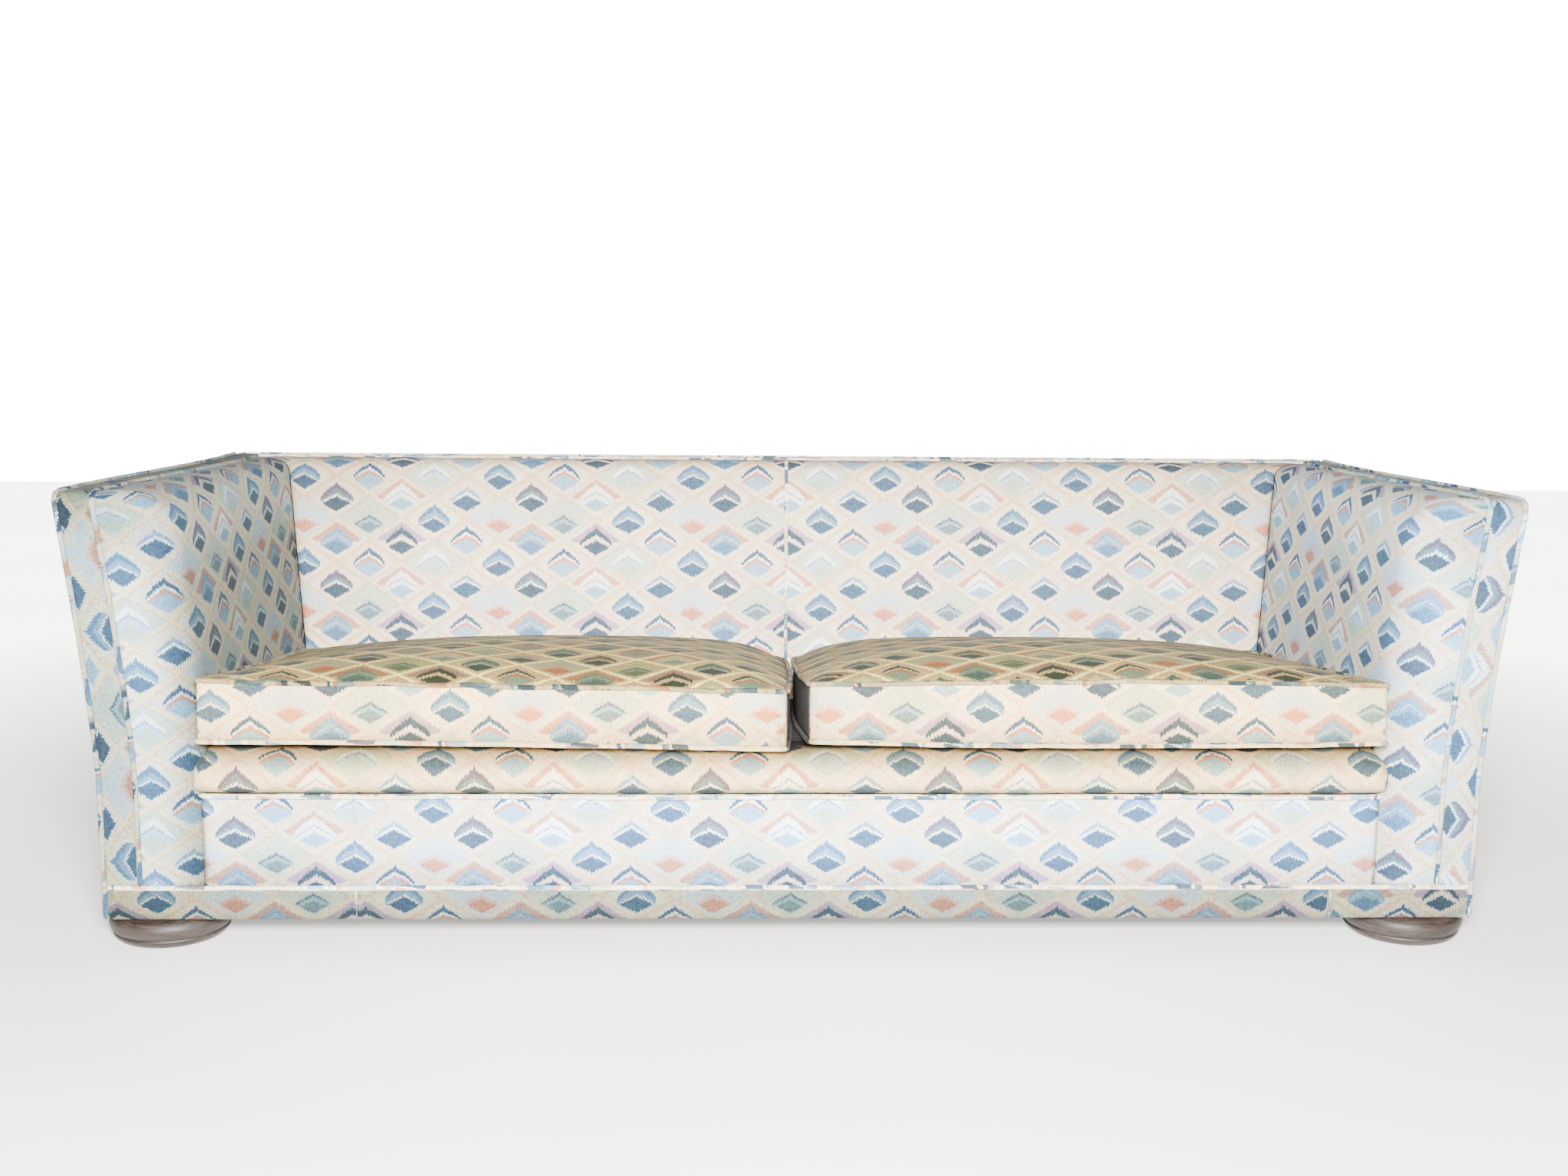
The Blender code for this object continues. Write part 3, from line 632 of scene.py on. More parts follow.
def pattern_lattice(g, u, v):
    """Which motif a thread belongs to, and its place within that motif's diamond."""
    x = u / column_pitch
    y = v / (2 * row_pitch)
    first = g.math("FLOOR", x + y + 0.5)
    second = g.math("FLOOR", x - y + 0.5)
    centre_x = (first + second) * 0.5
    centre_y = (first - second) * 0.5
    row = g.math("FLOORED_MODULO", second - first, motif_rows)
    column = g.math("FLOORED_MODULO", g.math("FLOOR", centre_x), motif_columns)
    index = (row * motif_columns + column + 0.5) / len(motif_order)
    return abs(x - centre_x) * 2.0, (y - centre_y) * 2.0, index


def flame_edge(g, across, top, spike, slope, curve):
    """Height of a flame's edge: a thin spike on a sloping, curving shoulder."""
    drop = g.math("MINIMUM", across / 0.12, 1.0) * spike + across * slope
    return top - (drop + g.math("POWER", across, 2.0) * curve)


def fabric_material(name, tint=(1.0, 1.0, 1.0, 1.0), lattice=sand, line_start=0.955):
    """Flame-stitch jacquard: jagged motifs in a lattice, mottled threads and a raised weave."""
    g = Graph(name)
    cloth = g.uv("cloth")
    u, v, _ = g.parts(cloth)

    drift = (g.noise(cloth, 26.0, 1.0) - 0.5) * 0.005
    tooth = g.fold(u + drift, 0.0023) * 0.8
    strands = g.noise(g.scaled(cloth, (1.0, 0.18, 1.0)), 520.0, 2.0, 0.7)
    stray = (strands - 0.62) * 0.0120
    across, up, index = pattern_lattice(g, u + drift, (v + drift) + (tooth + stray))

    tables = []
    for k in range(6):
        entries = [(*motifs[kind][k][:3], motifs[kind][6][min(k, 4)]) for kind in motif_order]
        stops = [(i / len(entries), entry) for i, entry in enumerate(entries)]
        tables.append(g.ramp(index, stops, "CONSTANT"))
    (field, halo_start), (halo, band_start), *bands = tables
    starts = [band_start] + [start for _, start in bands[:-1]]

    ring = across + abs(up)
    frayed = (strands - 0.5) * 0.10 + ring
    colour = g.mix(ring * 0.5, field, ivory)
    outer = g.soft((halo_start < 0.6) * -0.16 + 0.95, frayed, 9.0)
    rim = g.soft(frayed, halo_start, 6.0) * outer * (up > -0.12)
    colour = g.mix(rim * 0.85, colour, halo)

    wide = across * 2.026
    tall = up * 1.58
    crest = flame_edge(g, wide, 1.05, 0.155, 0.45, 0.52)
    foot = flame_edge(g, wide, -0.26, 0.04, 0.41, 0.08)
    level = (tall - foot) / g.math("MAXIMUM", crest - foot, 0.2)
    inside = (wide < 1.0) * (tall > wide * 0.66 + -1.13)
    for limit, (band, _) in zip(starts, bands):
        colour = g.mix(inside * g.soft(limit, level, 18.0), colour, band)
    colour = g.mix(1.0, colour, tint, "MULTIPLY")
    colour = g.mix(g.soft(frayed, line_start, 14.0) * 0.85, colour, lattice)
    # The second cloth map: its first value darkens the cloth as soil and painted shade, its second paints
    # shadow near black, in the cushions' gap and under their fronts.
    shade_and_soil_share, dark, _ = g.parts(g.uv("shade_and_soil"))
    colour = g.mix(shade_and_soil_share, colour, g.mix(1.0, colour, rgb("848578"), "MULTIPLY"))
    colour = g.mix(dark, colour, rgb("0E0807"))

    threads = g.noise(g.scaled(cloth, (1.0, 0.55, 1.0)), 640.0, 2.0, 0.8)
    stitches = g.noise(g.scaled(cloth, (1.0, 0.45, 1.0)), 300.0, 2.0, 0.7)
    shade = ((threads + stitches) * 0.80 + 0.18) * (g.noise(cloth, 7.0, 3.0) * 0.16 + 0.92)
    grey = g.outputs(g.node("ShaderNodeCombineColor", {0: shade, 1: shade, 2: shade}))[0]
    colour = g.mix(1.0, colour, grey, "MULTIPLY")
    colour = g.mix(0.9, colour, g.noise(cloth, 260.0, output="Color"), "SOFT_LIGHT")

    weave = (g.fold(u, 0.00055) + g.fold(v, 0.00055)) * 900.0
    return g.set(
        Base_Color=colour,
        Roughness=threads * 0.25 + 0.68,
        Normal=g.bump(weave + threads + inside * 0.4, 0.35, 0.0005),
        Sheen_Weight=0.03,
        Sheen_Roughness=0.45,
        Specular_IOR_Level=0.05,
    )


def lining_material():
    """Plain calico for the deck, with a fine weave and a painted shadow line under the cushions' gap."""
    g = Graph("deck_lining")
    cloth = g.uv("cloth")
    u, v, _ = g.parts(cloth)
    weave = (g.fold(u, 0.0004) + g.fold(v, 0.0004)) * 1200.0
    slubs = g.noise(g.scaled(cloth, (1.0, 0.12, 1.0)), 420.0, 3.0)
    worn = g.mix(g.noise(cloth, 6.0, 3.0), g.tone(slubs, 0.3, "6B5A49", 0.7, "8A7865"), rgb("74614E"))
    return g.set(
        # Painted shadow: near black in a strip under the gap between the cushions.
        Base_Color=g.mix(g.soft(0.018, abs(u), 40.0), worn, rgb("1A1210")),
        Roughness=slubs * 0.2 + 0.75,
        Normal=g.bump(weave + slubs, 0.35, 0.0004),
    )


def black_cloth_material():
    """Thin felted cloth under the base."""
    g = Graph("felted_dust_cloth")
    place = g.place()
    fibres = g.noise(place, 600.0, 4.0, 0.7)
    tone = g.tone(fibres, 0.35, "141414", 0.7, "2B2A2A")
    return g.set(
        Base_Color=g.mix(g.noise(place, 5.0, 3.0), tone, rgb("1B1A1C")),
        Roughness=fibres * 0.1 + 0.85,
        Normal=g.bump(fibres, 0.5, 0.0006),
    )


def wood_material(name, dark, light, lime=None, stretch=(2.0, 30.0, 30.0), roughness=0.55):
    """Wood grain along one axis, with pores and, where it is limed, white in the grain."""
    g = Graph(name)
    place = g.place()
    grain = g.noise(g.scaled(place, stretch), 6.0, 6.0, 0.65)
    pores = g.noise(g.scaled(place, tuple(s * 3 for s in stretch)), 9.0, 3.0, 0.6)
    tone = g.tone(grain, 0.35, dark, 0.65, light)
    tone = g.mix(g.noise(place, 7.0, 2.0) * 0.4, tone, rgb(dark))
    if lime is not None:
        tone = g.mix((pores > 0.60) * 0.75, tone, rgb(lime))
    return g.set(
        Base_Color=tone,
        Roughness=pores * 0.25 + (roughness - 0.1),
        Normal=g.bump(grain + pores, 0.25, 0.0006),
    )


def webbing_material():
    """Jute webbing in a coarse twill."""
    g = Graph("jute_web")
    place = g.place()
    x, y, _ = g.parts(place)
    weave = (g.fold(x + y, 0.0012) + g.fold(x - y, 0.0012)) * 420.0
    fibres = g.noise(place, 500.0, 3.0, 0.7)
    return g.set(
        Base_Color=g.tone(fibres, 0.3, "7C6340", 0.7, "B39468"),
        Roughness=fibres * 0.1 + 0.85,
        Normal=g.bump(weave + fibres, 0.5, 0.0006),
    )


def metal_material(name, colour, stain, roughness):
    """Drawn metal with fine scratches and dull patches."""
    g = Graph(name)
    place = g.place()
    scratches = g.noise(g.scaled(place, (1.0, 14.0, 1.0)), 300.0, 3.0)
    return g.set(
        Base_Color=g.mix(g.noise(place, 60.0, 3.0) * 0.7, rgb(colour), rgb(stain)),
        Roughness=scratches * 0.25 + (roughness - 0.1),
        Normal=g.bump(scratches, 0.1, 0.0002),
        Metallic=1.0,
    )


def foam_material():
    """Cut foam with open cells."""
    g = Graph("cut_foam")
    place = g.place()
    cells = g.node("ShaderNodeTexVoronoi", {"Vector": place, "Scale": 700.0})
    distance = Wire(g, cells.outputs["Distance"])
    tone = g.tone(distance, 0.1, "B09A5E", 0.6, "E3D6A0")
    return g.set(
        Base_Color=g.mix(g.noise(place, 9.0, 3.0), tone, rgb("D9C583")),
        Roughness=distance * 0.1 + 0.85,
        Normal=g.bump(distance, 0.6, 0.0008),
    )


def tape_material():
    """Herringbone zip tape."""
    g = Graph("zip_tape_weave")
    place = g.place()
    x, _, z = g.parts(place)
    rib = g.fold(x + g.fold(z, 0.002), 0.0006)
    fibres = g.noise(place, 900.0, 2.0)
    return g.set(
        Base_Color=g.tone(fibres, 0.3, "9A8B74", 0.7, "CDBFA6"),
        Roughness=fibres * 0.15 + 0.75,
        Normal=g.bump(rib * 900.0 + fibres, 0.4, 0.0003),
    )


fabric = fabric_material("flame_stitch")
# Tinted copies that paint the light's colour cast: warm on the roll, cushion boxing and cushion welts, cool
# on the base band and front panel.
warm_fabric = fabric_material("flame_stitch_warm", rgb("F1E4C6"))
cool_fabric = fabric_material("flame_stitch_cool", rgb("DEEDFF"))
# Copies tinted blue as painted cool light, the left one darker as painted shade on the more shaded arm.
arm_fabrics = {
    -1: fabric_material("flame_stitch_left_arm", rgb("C4DAEC")),
    1: fabric_material("flame_stitch_right_arm", rgb("D4E9FF")),
}
# Copy for the seat tops: the dark olive tint paints the shade on surfaces facing up, and the bright yellow
# lattice paints the sheen seen at a grazing angle.
seat_fabric = fabric_material("flame_stitch_seat", rgb("A09467"), rgb("F2DC80"), 0.93)
lining = lining_material()
black_cloth = black_cloth_material()
hardwood = wood_material("beech_rails", "8F6A43", "C79E6E")
limed_oak = wood_material("limed_oak_turning", "120D0B", "3A2E28", "453A34", (2.2, 2.2, 26.0), 0.50)
jute = webbing_material()
steel = metal_material("bolt_metal", "8E8C88", "6B645C", 0.38)
brass = metal_material("zip_metal", "B5934F", "8A6A34", 0.32)
foam = foam_material()
tape = tape_material()


# Covers


def inside_arm(name, side):
    """Padded cover from the front welt round to the inner wall and over the top."""
    low = [(z, 0.0, 1.0, False) for z in steps(14, upholstery_bottom, roll_bottom)[:-1]]
    wall = [(between(roll_bottom, wall_foot, s), 0.0, 1.0, False) for s in steps(12)[:-1]]
    wall += [(wall_foot, s, 1.0, False) for s in steps(26)[:-1]]
    top = [(wall_foot, 1.0, up, True) for up in turn_steps(6, 14)[::-1]]
    turns = turn_steps(7, 12)
    columns = [(out, 0.0, True) for out in turns] + [(1.0, run, False) for run in steps(62)[1:]]

    def place(row, column):
        foot, share, up, in_top = row
        out, run, turning = column
        drop = between(shoulder_front_drop, shoulder_rear_drop, run)
        z = overall_height - drop * turn_drop(up) if in_top else between(foot, overall_height - drop, share)
        grown = min(1.0, max(0.0, z - roll_bottom) / (scoop_full_height - roll_bottom))
        scoop = between(scoop_low_depth, scoop_depth, grown)
        depth = between(band_corner_radius, scoop, up)
        face = between(back_edge_y, back_y(z) + 0.014, up) - seam_gap
        y = between(panel_y + depth, face, run)
        x = between(band_inner_x(y, overall_height), wall_x(y, z), up)
        if turning:
            welt_z = between(corner_z, overall_height - shoulder_front_drop, up) if in_top else z
            welt_x = band_inner_x(panel_y, welt_z)
            y = panel_y + depth * turn_drop(out, flat_share * up)
            x, z = between(welt_x, x, out), between(welt_z, z, out)
        return x, y, z

    points = grid(low + wall + top, columns, place)
    relax(points, 6, len(low))
    points = mirrored(points, side)
    core = (side * 1.0, 0.0, 0.25)
    points = soften(points, core, 11 + side, swell=0.0022, wave=0.0016)

    across, up = arc_lengths(points, 1), arc_lengths(points, 0)
    up = up - up[len(low)] + roll_bottom
    turned = ease([out for out, _, _ in columns], 0.25, 1.0)[None, :]
    high = ease(points[..., 2], 0.54, 0.66)
    round_front, overall, _, _ = arm_shade_and_soil[side]
    # Painted shade where the front turns into the inner wall, easing higher up; on the front, darker
    # towards the top as soil from hands.
    shade_and_soil = turned * round_front * (1 - 0.35 * high) + (1 - turned) * 0.6 * high + overall

    def kept(row, column):
        return row >= len(low) or column < len(turns) - 1

    cover(f"{name}_inside_arm", points, stack(-side * across, up, shade_and_soil), core, arm_fabrics[side], kept)


def arm_path():
    """(y, z) up the arm's front, over its rounded top corner and back to the rear."""
    path = [(panel_y, z) for z in steps(60, upholstery_bottom, corner_z)]
    for angle in steps(8, 0.0, math.pi / 2)[1:]:
        turned = band_corner_radius * math.cos(angle), band_corner_radius * math.sin(angle)
        path.append((corner_y - turned[0], corner_z + turned[1]))
    return path + [(y, overall_height) for y in steps(70, corner_y, rear_y)[1:]]


def arm_band(name, side):
    """Boxed strip between the arm's two welts, with its fabric turned to point outwards."""

    def place(at, share):
        return between(band_inner_x(*at), side_x(*at), share), *at

    core = (side * 1.0, 0.0, 0.3)
    points = mirrored(grid(arm_path(), steps(8), place), side)
    points = soften(points, core, 21 + side, swell=0.0024, wave=0.0006, reach=0.018)
    up, across = arc_lengths(points, 0), arc_lengths(points, 1)
    up = up[:, :1] + np.zeros_like(up) + upholstery_bottom
    # Darkened all along, with painted shade heavier on the left arm, and more towards the top as soil from
    # hands.
    shade_and_soil = arm_shade_and_soil[side][2] + 0.3 * ease(points[..., 2], 0.60, 0.68)
    cover(f"{name}_arm_band", points, stack(-side * up, across, shade_and_soil), core, arm_fabrics[side])


def outside_arm(name, side):
    """Outer cover, pulled flat from the base to the welt."""

    def place(z, y):
        along, up = corner_y - y, z - corner_z
        reach = math.hypot(along, up)
        if along > 0 and up > 0 and reach > band_corner_radius:
            y = corner_y - along * band_corner_radius / reach
            z = corner_z + up * band_corner_radius / reach
        return side_x(y, z), y, z

    core = (side * 0.9, 0.0, 0.35)
    rows, columns = steps(46, upholstery_bottom, overall_height), steps(56, panel_y, rear_y)
    points = mirrored(grid(rows, columns, place), side)
    points = soften(points, core, 31 + side, swell=0.0, wave=0.0014)
    cover(f"{name}_outside_arm", points, stack(side * points[..., 1], points[..., 2]), core, fabric)


def arm_welts(name, side):
    """Welts along both edges of the arm's boxed strip."""
    path = arm_path()
    inner = [(side * band_inner_x(y, z), y, z) for y, z in path if y <= back_edge_y]
    inner.append((side * band_inner_x(back_edge_y, overall_height), back_edge_y, overall_height))
    outer = [(side * base_width / 2, panel_y, welt_foot)]
    outer += [(side * side_x(y, z), y, z) for y, z in path]
    for label, line in (("inner", inner), ("outer", outer)):
        line = np.array(line)
        line[:, 1] -= np.where(line[:, 2] < corner_z + 0.01, welt_proud, 0.0)
        line[:, 2] += np.where(line[:, 1] > corner_y, welt_proud, 0.0)
        settings = {"seed": 3 + len(label) + side, "welt_shade_and_soil": arm_shade_and_soil[side][3]}
        welt(f"{name}_arm_{label}_welt", line, arm_fabrics[side], **settings)


def inside_back(name, side):
    """Crowned panel that leans back from the seat and rolls over the top edge."""
    rows = [(z, 1.0) for z in steps(44, back_panel_foot, top_z)[:-1]]
    rows += [(overall_height - shoulder_rear_drop * turn_drop(up), up) for up in turn_steps(5, 10)[::-1]]
    columns = sorted({*steps(84), 0.004, 0.008, 0.992, 0.996})

    def place(row, share):
        z, up = row
        rise = min(1.0, (z - back_panel_foot) / (top_z - back_panel_foot))
        y = between(back_edge_y, back_y(z), up)
        reach = between(band_inner_x(y, overall_height), wall_x(y, z), up)
        crown = back_crown * 4 * share * (1 - share) * 4 * rise * (1 - rise)
        x = reach * share
        pulled = 0.0
        for gap, depth in ((x, 0.004), (reach - x, 0.010)):
            pulled += depth * max(0.0, 1 - gap / tuck_width) ** 2 * up
        return x, y - crown + pulled, z

    core = (side * 0.4, 0.33, 0.4)
    points = mirrored(grid(rows, columns, place), side)
    points = soften(points, core, 41 + side, swell=0.002, wave=0.0018)
    up = arc_lengths(points, 0) + points[:1, :, 2] + 0.012
    # Painted shade: darker towards the top and towards the outer ends, in the corners by the arms.
    shade_and_soil = 0.45 * ease(points[..., 2], 0.50, 0.70) + 0.25 * ease(abs(points[..., 0]), 0.62, 0.86)
    cover(f"{name}_inside_back", points, stack(points[..., 0], up, shade_and_soil), core, fabric)


def centre_back_welt():
    line = [(0.0, back_y(z) + 0.003, z) for z in steps(40, 0.30, top_z)]
    for up in turn_steps(4, 8)[::-1][1:]:
        z = overall_height - shoulder_rear_drop * turn_drop(up)
        line.append((0.0, between(back_edge_y, back_y(z), up), z + 0.0005))
    welt("centre_back_welt", line, fabric, radius=0.0034, seed=8)


def back_covers():
    """Boxed strip along the back's top, outside back, and the welts at their edges."""

    def strip(y, share):
        return band_inner_x(y, overall_height) * share, y, overall_height

    def panel(z, share):
        return side_x(rear_y, z) * share, rear_y, z

    shares = steps(150, -1.0, 1.0)
    core = (0, 0.3, 0.3)
    points = grid(steps(8, back_edge_y, rear_y), shares, strip)
    points = soften(points, core, 51, swell=0.002, wave=0.0008, reach=0.018)
    cover("back_band", points, stack(points[..., 0], points[..., 1]), core, fabric)

    core = (0, 0, 0.35)
    points = grid(steps(46, upholstery_bottom, overall_height), shares, panel)
    points = soften(points, core, 52, swell=0.0005, wave=0.0014)
    cover("outside_back", points, stack(-points[..., 0], points[..., 2]), core, fabric)

    reach = band_inner_x(back_edge_y, overall_height)
    edge = [(x * reach, back_edge_y, overall_height + 0.0008) for x in steps(160, -1, 1)]
    welt("back_band_front_welt", edge, fabric, seed=5)
    up = steps(60, welt_foot, overall_height - 0.003)
    down = steps(60, overall_height - 0.003, welt_foot)
    reach = side_x(rear_y, overall_height)
    edge = [(side_x(rear_y, z), rear_y, z) for z in up]
    edge += [(x * reach, rear_y, overall_height) for x in steps(160, 1, -1)[1:-1]]
    edge += [(-side_x(rear_y, z), rear_y, z) for z in down]
    welt("outside_back_welt", edge, fabric, seed=6)


def base_band(name, start, end, outward, joins=()):
    """Padded strip round the foot of the sofa, with eased ends and a rounded lower edge."""
    start, end, outward = (np.array((*v, 0), float) for v in (start, end, outward))
    length = np.linalg.norm(end - start)
    along = (end - start) / length
    rounded = base_end_radius
    places = steps(int(length / 0.012), rounded, length - rounded)
    places = sorted({0.0, 0.0015, 0.004, *places, length - 0.004, length - 0.0015, length})
    profile = [(0.0015, -0.004), (0.0, -0.0012)]
    for z in steps(10, 0.0015, base_band_height - 0.002):
        profile.append((z, 0.0022 * math.sqrt(max(0, 1 - (2 * z / base_band_height - 1) ** 2))))

    def place(point, at):
        z, proud = point
        back = rounded * turn_drop(1 - min(at, length - at) / rounded, 0.0)
        wave = 0.0008 * hum(at * 9, z * 20, start[1] * 5)
        curl = 0.009 * max(0.0, 1 - z / 0.022) ** 2
        reach = min(max(at, curl), length - curl)
        x, y, _ = start + along * reach + outward * (proud - back - curl + wave)
        return x, y, frame_bottom + z

    points = grid(profile, places, place)
    core = (start + end) / 2 - outward * 0.3
    core[2] = 0.07
    lengths = np.array(places)[None, :] + np.zeros(points.shape[:2])
    heights = points[..., 2].copy()
    for seam, shift, lift in joins:
        beyond = (lengths < seam) if seam < length / 2 else (lengths > seam)
        heights = np.where(beyond, heights + lift, heights)
        lengths = np.where(beyond, lengths + shift, lengths)
    front = outward[1] < 0
    # Darkened all over, most on the front band, and a little more towards the left end.
    shade_and_soil = (0.92 if front else 0.45) + 0.08 * ease(-points[..., 0], 0.75, 1.03)
    cover(f"{name}_base_band", points, stack(lengths, heights, shade_and_soil), core, cool_fabric)


def base_covers():
    half, inset = base_width / 2, cover_thickness
    near, far = panel_y + inset, rear_y - inset
    joins = [(half + x, shift, lift) for _, x, shift, lift in base_joins]
    base_band("front", (-half, panel_y), (half, panel_y), (0, -1), joins)
    base_band("rear", (half, rear_y), (-half, rear_y), (0, 1))
    base_band("right", (half, near), (half, far), (1, 0))
    base_band("left", (-half, far), (-half, near), (-1, 0))
    ring = ((-half, rear_y), (-half, panel_y), (half, panel_y), (half, rear_y))
    line = resample([(*corner, band_top) for corner in ring], 0.004, closed=True)
    welt("base_welt", line, fabric, seed=4, closed=True, wobble=0.0008)
    for name, x, _, _ in base_joins:
        seam = [(x, panel_y - 0.0016, z) for z in steps(14, welt_foot, band_top - 0.003)]
        welt(f"base_band_{name}_join", seam, fabric, radius=0.0009, sides=6, seed=9)


def front_panel():
    """Fabric pulled flat under the seat."""
    reach = wall_x(panel_y + cover_thickness, roll_bottom) - seam_gap

    def place(z, x):
        near = max(0.0, 1 - (reach - abs(x)) / 0.010)
        return x, panel_y + 0.006 * near**2, z

    core = (0, 0, 0.17)
    points = grid(steps(18, upholstery_bottom, roll_bottom), steps(170, -reach, reach), place)
    points = soften(points, core, 61, swell=0.001, wave=0.0012)
    # Painted shade towards the bottom, and a little darkening towards the left end.
    shade_and_soil = 0.5 * ease(-points[..., 2], -0.17, -0.10) + 0.2 * ease(-points[..., 0], 0.4, 0.86)
    cover("front_panel", points, stack(points[..., 0], points[..., 2], shade_and_soil), core, cool_fabric)


def roll_swell(x):
    """How full the front roll is, from 1 along its length to 0 at its ends."""
    beyond = max(0.0, abs(x) - (roll_reach - roll_end_radius)) / roll_end_radius
    return math.sqrt(max(0.0, 1 - beyond**2))


def front_roll():
    """Padded bull-nose edge that bulges over the panel, with rounded ends."""
    radius = roll_radius
    centre_y, centre_z = panel_y - roll_overhang + radius, roll_bottom + radius
    back = panel_y + roll_back - centre_y
    low = 0.0045
    section = [(-math.sin(a) * radius, -low - math.cos(a) * (radius - low)) for a in steps(20, 0, math.pi)]
    section += [(back * s, radius - 2 * low * (1 - s)) for s in steps(6)[1:]]
    straight = roll_reach - roll_end_radius
    ends = [roll_end_radius * math.sin(math.pi / 2 * s) for s in steps(8)[1:]]
    places = [-straight - e for e in ends[::-1]] + steps(150, -straight, straight)
    places += [straight + e for e in ends]

    def place(at, x):
        along, up = at
        swell = roll_swell(x)
        out = along * between(0.25, 1.0, swell) if along < 0 else along
        return x, centre_y + out, centre_z + (up + radius) * between(0.45, 1.0, swell) - radius

    points = grid(section, places, place)
    # Painted shadow near black where the roll's top lies under the cushions' front edge and in the gap
    # between them; painted shade darkens its upper part and its underside.
    under_cushion = ease(points[..., 2], roll_top - 0.0085, roll_top - 0.0050)
    points[..., 1] -= 0.0016 * np.array([hum(x * 7.0, 3.3, 0.0) for x in places])
    points[..., 2] += 0.0030 * np.array([hum(x * 2.5, 9.1, 0.0) for x in places])
    up, z = arc_lengths(points, 0), points[..., 2]
    shade_and_soil = 0.2 + 0.6 * ease(z, roll_bottom + 0.030, roll_top - 0.006)
    shade_and_soil = shade_and_soil + 0.7 * ease(-z, -roll_bottom - 0.022, -roll_bottom)
    in_gap = (1 - ease(abs(points[..., 0]), 0.012, 0.024)) * ease(z, roll_top - 0.012, roll_top - 0.004)
    dark = np.maximum(in_gap, 0.85 * under_cushion)
    cloth = phase(stack(points[..., 0], up, shade_and_soil, dark), *motif_places["front_roll"])
    normals, order = grid_normals(points, (0, centre_y, centre_z))
    roll = slab("front_roll_cover", points, points - normals * 0.006, cloth, warm_fabric, order)
    dress(roll, "frame", ["front_roll"])
    line = []
    for x in places:
        if abs(x) <= roll_reach - 0.006:
            sag = 0.0024 * hum(x * 2.5, 9.1, 0.0)
            line.append((x, panel_y - 0.0035 * roll_swell(x) - 0.003, roll_bottom - 0.001 + sag))
    welt("front_roll_welt", line, fabric, seed=12, wobble=0.001)


def seat_deck():
    """Lined deck with two lines of stitching."""
    near, far = panel_y + roll_back + seam_gap, deck_rear_y
    strap_start = frame_front + rail_thickness
    slope = strap_fall / (strap_rear_y - strap_start)
    low_start = roll_bottom - slope * rail_thickness

    def floor_at(y):
        return low_start - slope * (y - strap_start)

    def place_top(y, share):
        reach = wall_x(y, floor_at(y)) - 0.001
        x = reach * share
        line = min(abs(y - near - 0.11), abs(y - far + 0.05))
        stitch = 0.003 * math.exp(-((line / 0.006) ** 2))
        rim = min(1.0, (reach - abs(x)) / 0.02, (y - near) / 0.015 + 0.2)
        return x, y, cushion_floor(y) - 0.0012 - stitch - 0.004 * (1 - rim) ** 2

    def place_bottom(y, share):
        return (wall_x(y, floor_at(y)) - 0.001) * share, y, floor_at(y) + 0.0006

    depths, widths = steps(40, near, far), steps(110, -1.0, 1.0)
    top, bottom = grid(depths, widths, place_top), grid(depths, widths, place_bottom)
    deck = slab("seat_deck_pad", top, bottom, stack(top[..., 0], top[..., 1]), lining)
    dress(deck, "frame", ["seat_deck"])


def webbing():
    """Straps that sag a little between the rails."""
    for k in range(1, strap_count + 1):
        low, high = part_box(f"seat_strap_{k}")

        def place(y, x):
            share = (y - low.y) / (high.y - low.y)
            edge = between(high.z, low.z + strap_thickness, share)
            return x, y, edge - 0.004 * 4 * share * (1 - share)

        outer = grid(steps(60, low.y, high.y), steps(8, low.x, high.x), place)
        under = outer - np.array((0, 0, strap_thickness))
        strap = slab(f"seat_webbing_{k}", outer, under, stack(outer[..., 0], outer[..., 1]), jute)
        dress(strap, "frame", [f"seat_strap_{k}"])


def dust_cloth():
    """Black cloth tacked under the rails, with its corners left out for the feet."""
    foot_room = foot_radius + cover_thickness
    inner_x = base_width / 2 - foot_inset_x - foot_room
    outer_x = frame_side - rail_thickness / 2
    near, far = frame_front + rail_thickness / 2, frame_rear - rail_thickness / 2
    near_step, far_step = panel_y + front_foot_inset_y + foot_room, rear_y - rear_foot_inset_y - foot_room
    xs = steps(10, -outer_x, -inner_x)[:-1] + steps(80, -inner_x, inner_x) + steps(10, inner_x, outer_x)[1:]
    ys = steps(10, near, near_step)[:-1] + steps(20, near_step, far_step) + steps(10, far_step, far)[1:]

    def place(y, x):
        depth = (y - dust_cloth_middle_y) / dust_cloth_half_depth
        fade = (1 - (x / outer_x) ** 2) * (1 - depth**2)
        return x, y, foot_height - 0.0002 - 0.003 * max(0.0, fade)

    def kept(row, column):
        middle_x = (xs[column] + xs[column + 1]) / 2
        middle_y = (ys[row] + ys[row + 1]) / 2
        return abs(middle_x) < inner_x or near_step < middle_y < far_step

    top = grid(ys, xs, place)
    under = top - np.array((0, 0, 0.0012))
    cloth = slab("dust_cloth", top, under, stack(top[..., 0], top[..., 1]), black_cloth, kept=kept)
    dress(cloth, "frame", ["dust_cover"])
    area = 2 * (inner_x * (far - near) + (outer_x - inner_x) * (far_step - near_step))
    flat = (2 * outer_x, far - near)


# Cushions

deck_back = back_y(cushion_front_height - (overall_depth - back_top_depth) * math.tan(seat_rake))
cushion_depth = (deck_back - cushion_back_clearance - front_y) / math.cos(seat_rake)
tilt = Matrix.Translation((0.0, front_y, cushion_front_height)) @ Matrix.Rotation(-seat_rake, 4, "X")

# How far the photographed cushions' front edges stand off the plain ones: split, middle and arm end
edge_rises = {
    (-1, "lower"): (-0.0045, 0.0018, 0.0055),
    (1, "lower"): (0.0065, 0.0008, 0.0055),
    (-1, "upper"): (-0.0060, 0.0000, 0.0060),
    (1, "upper"): (0.0030, 0.0090, 0.0045),
}


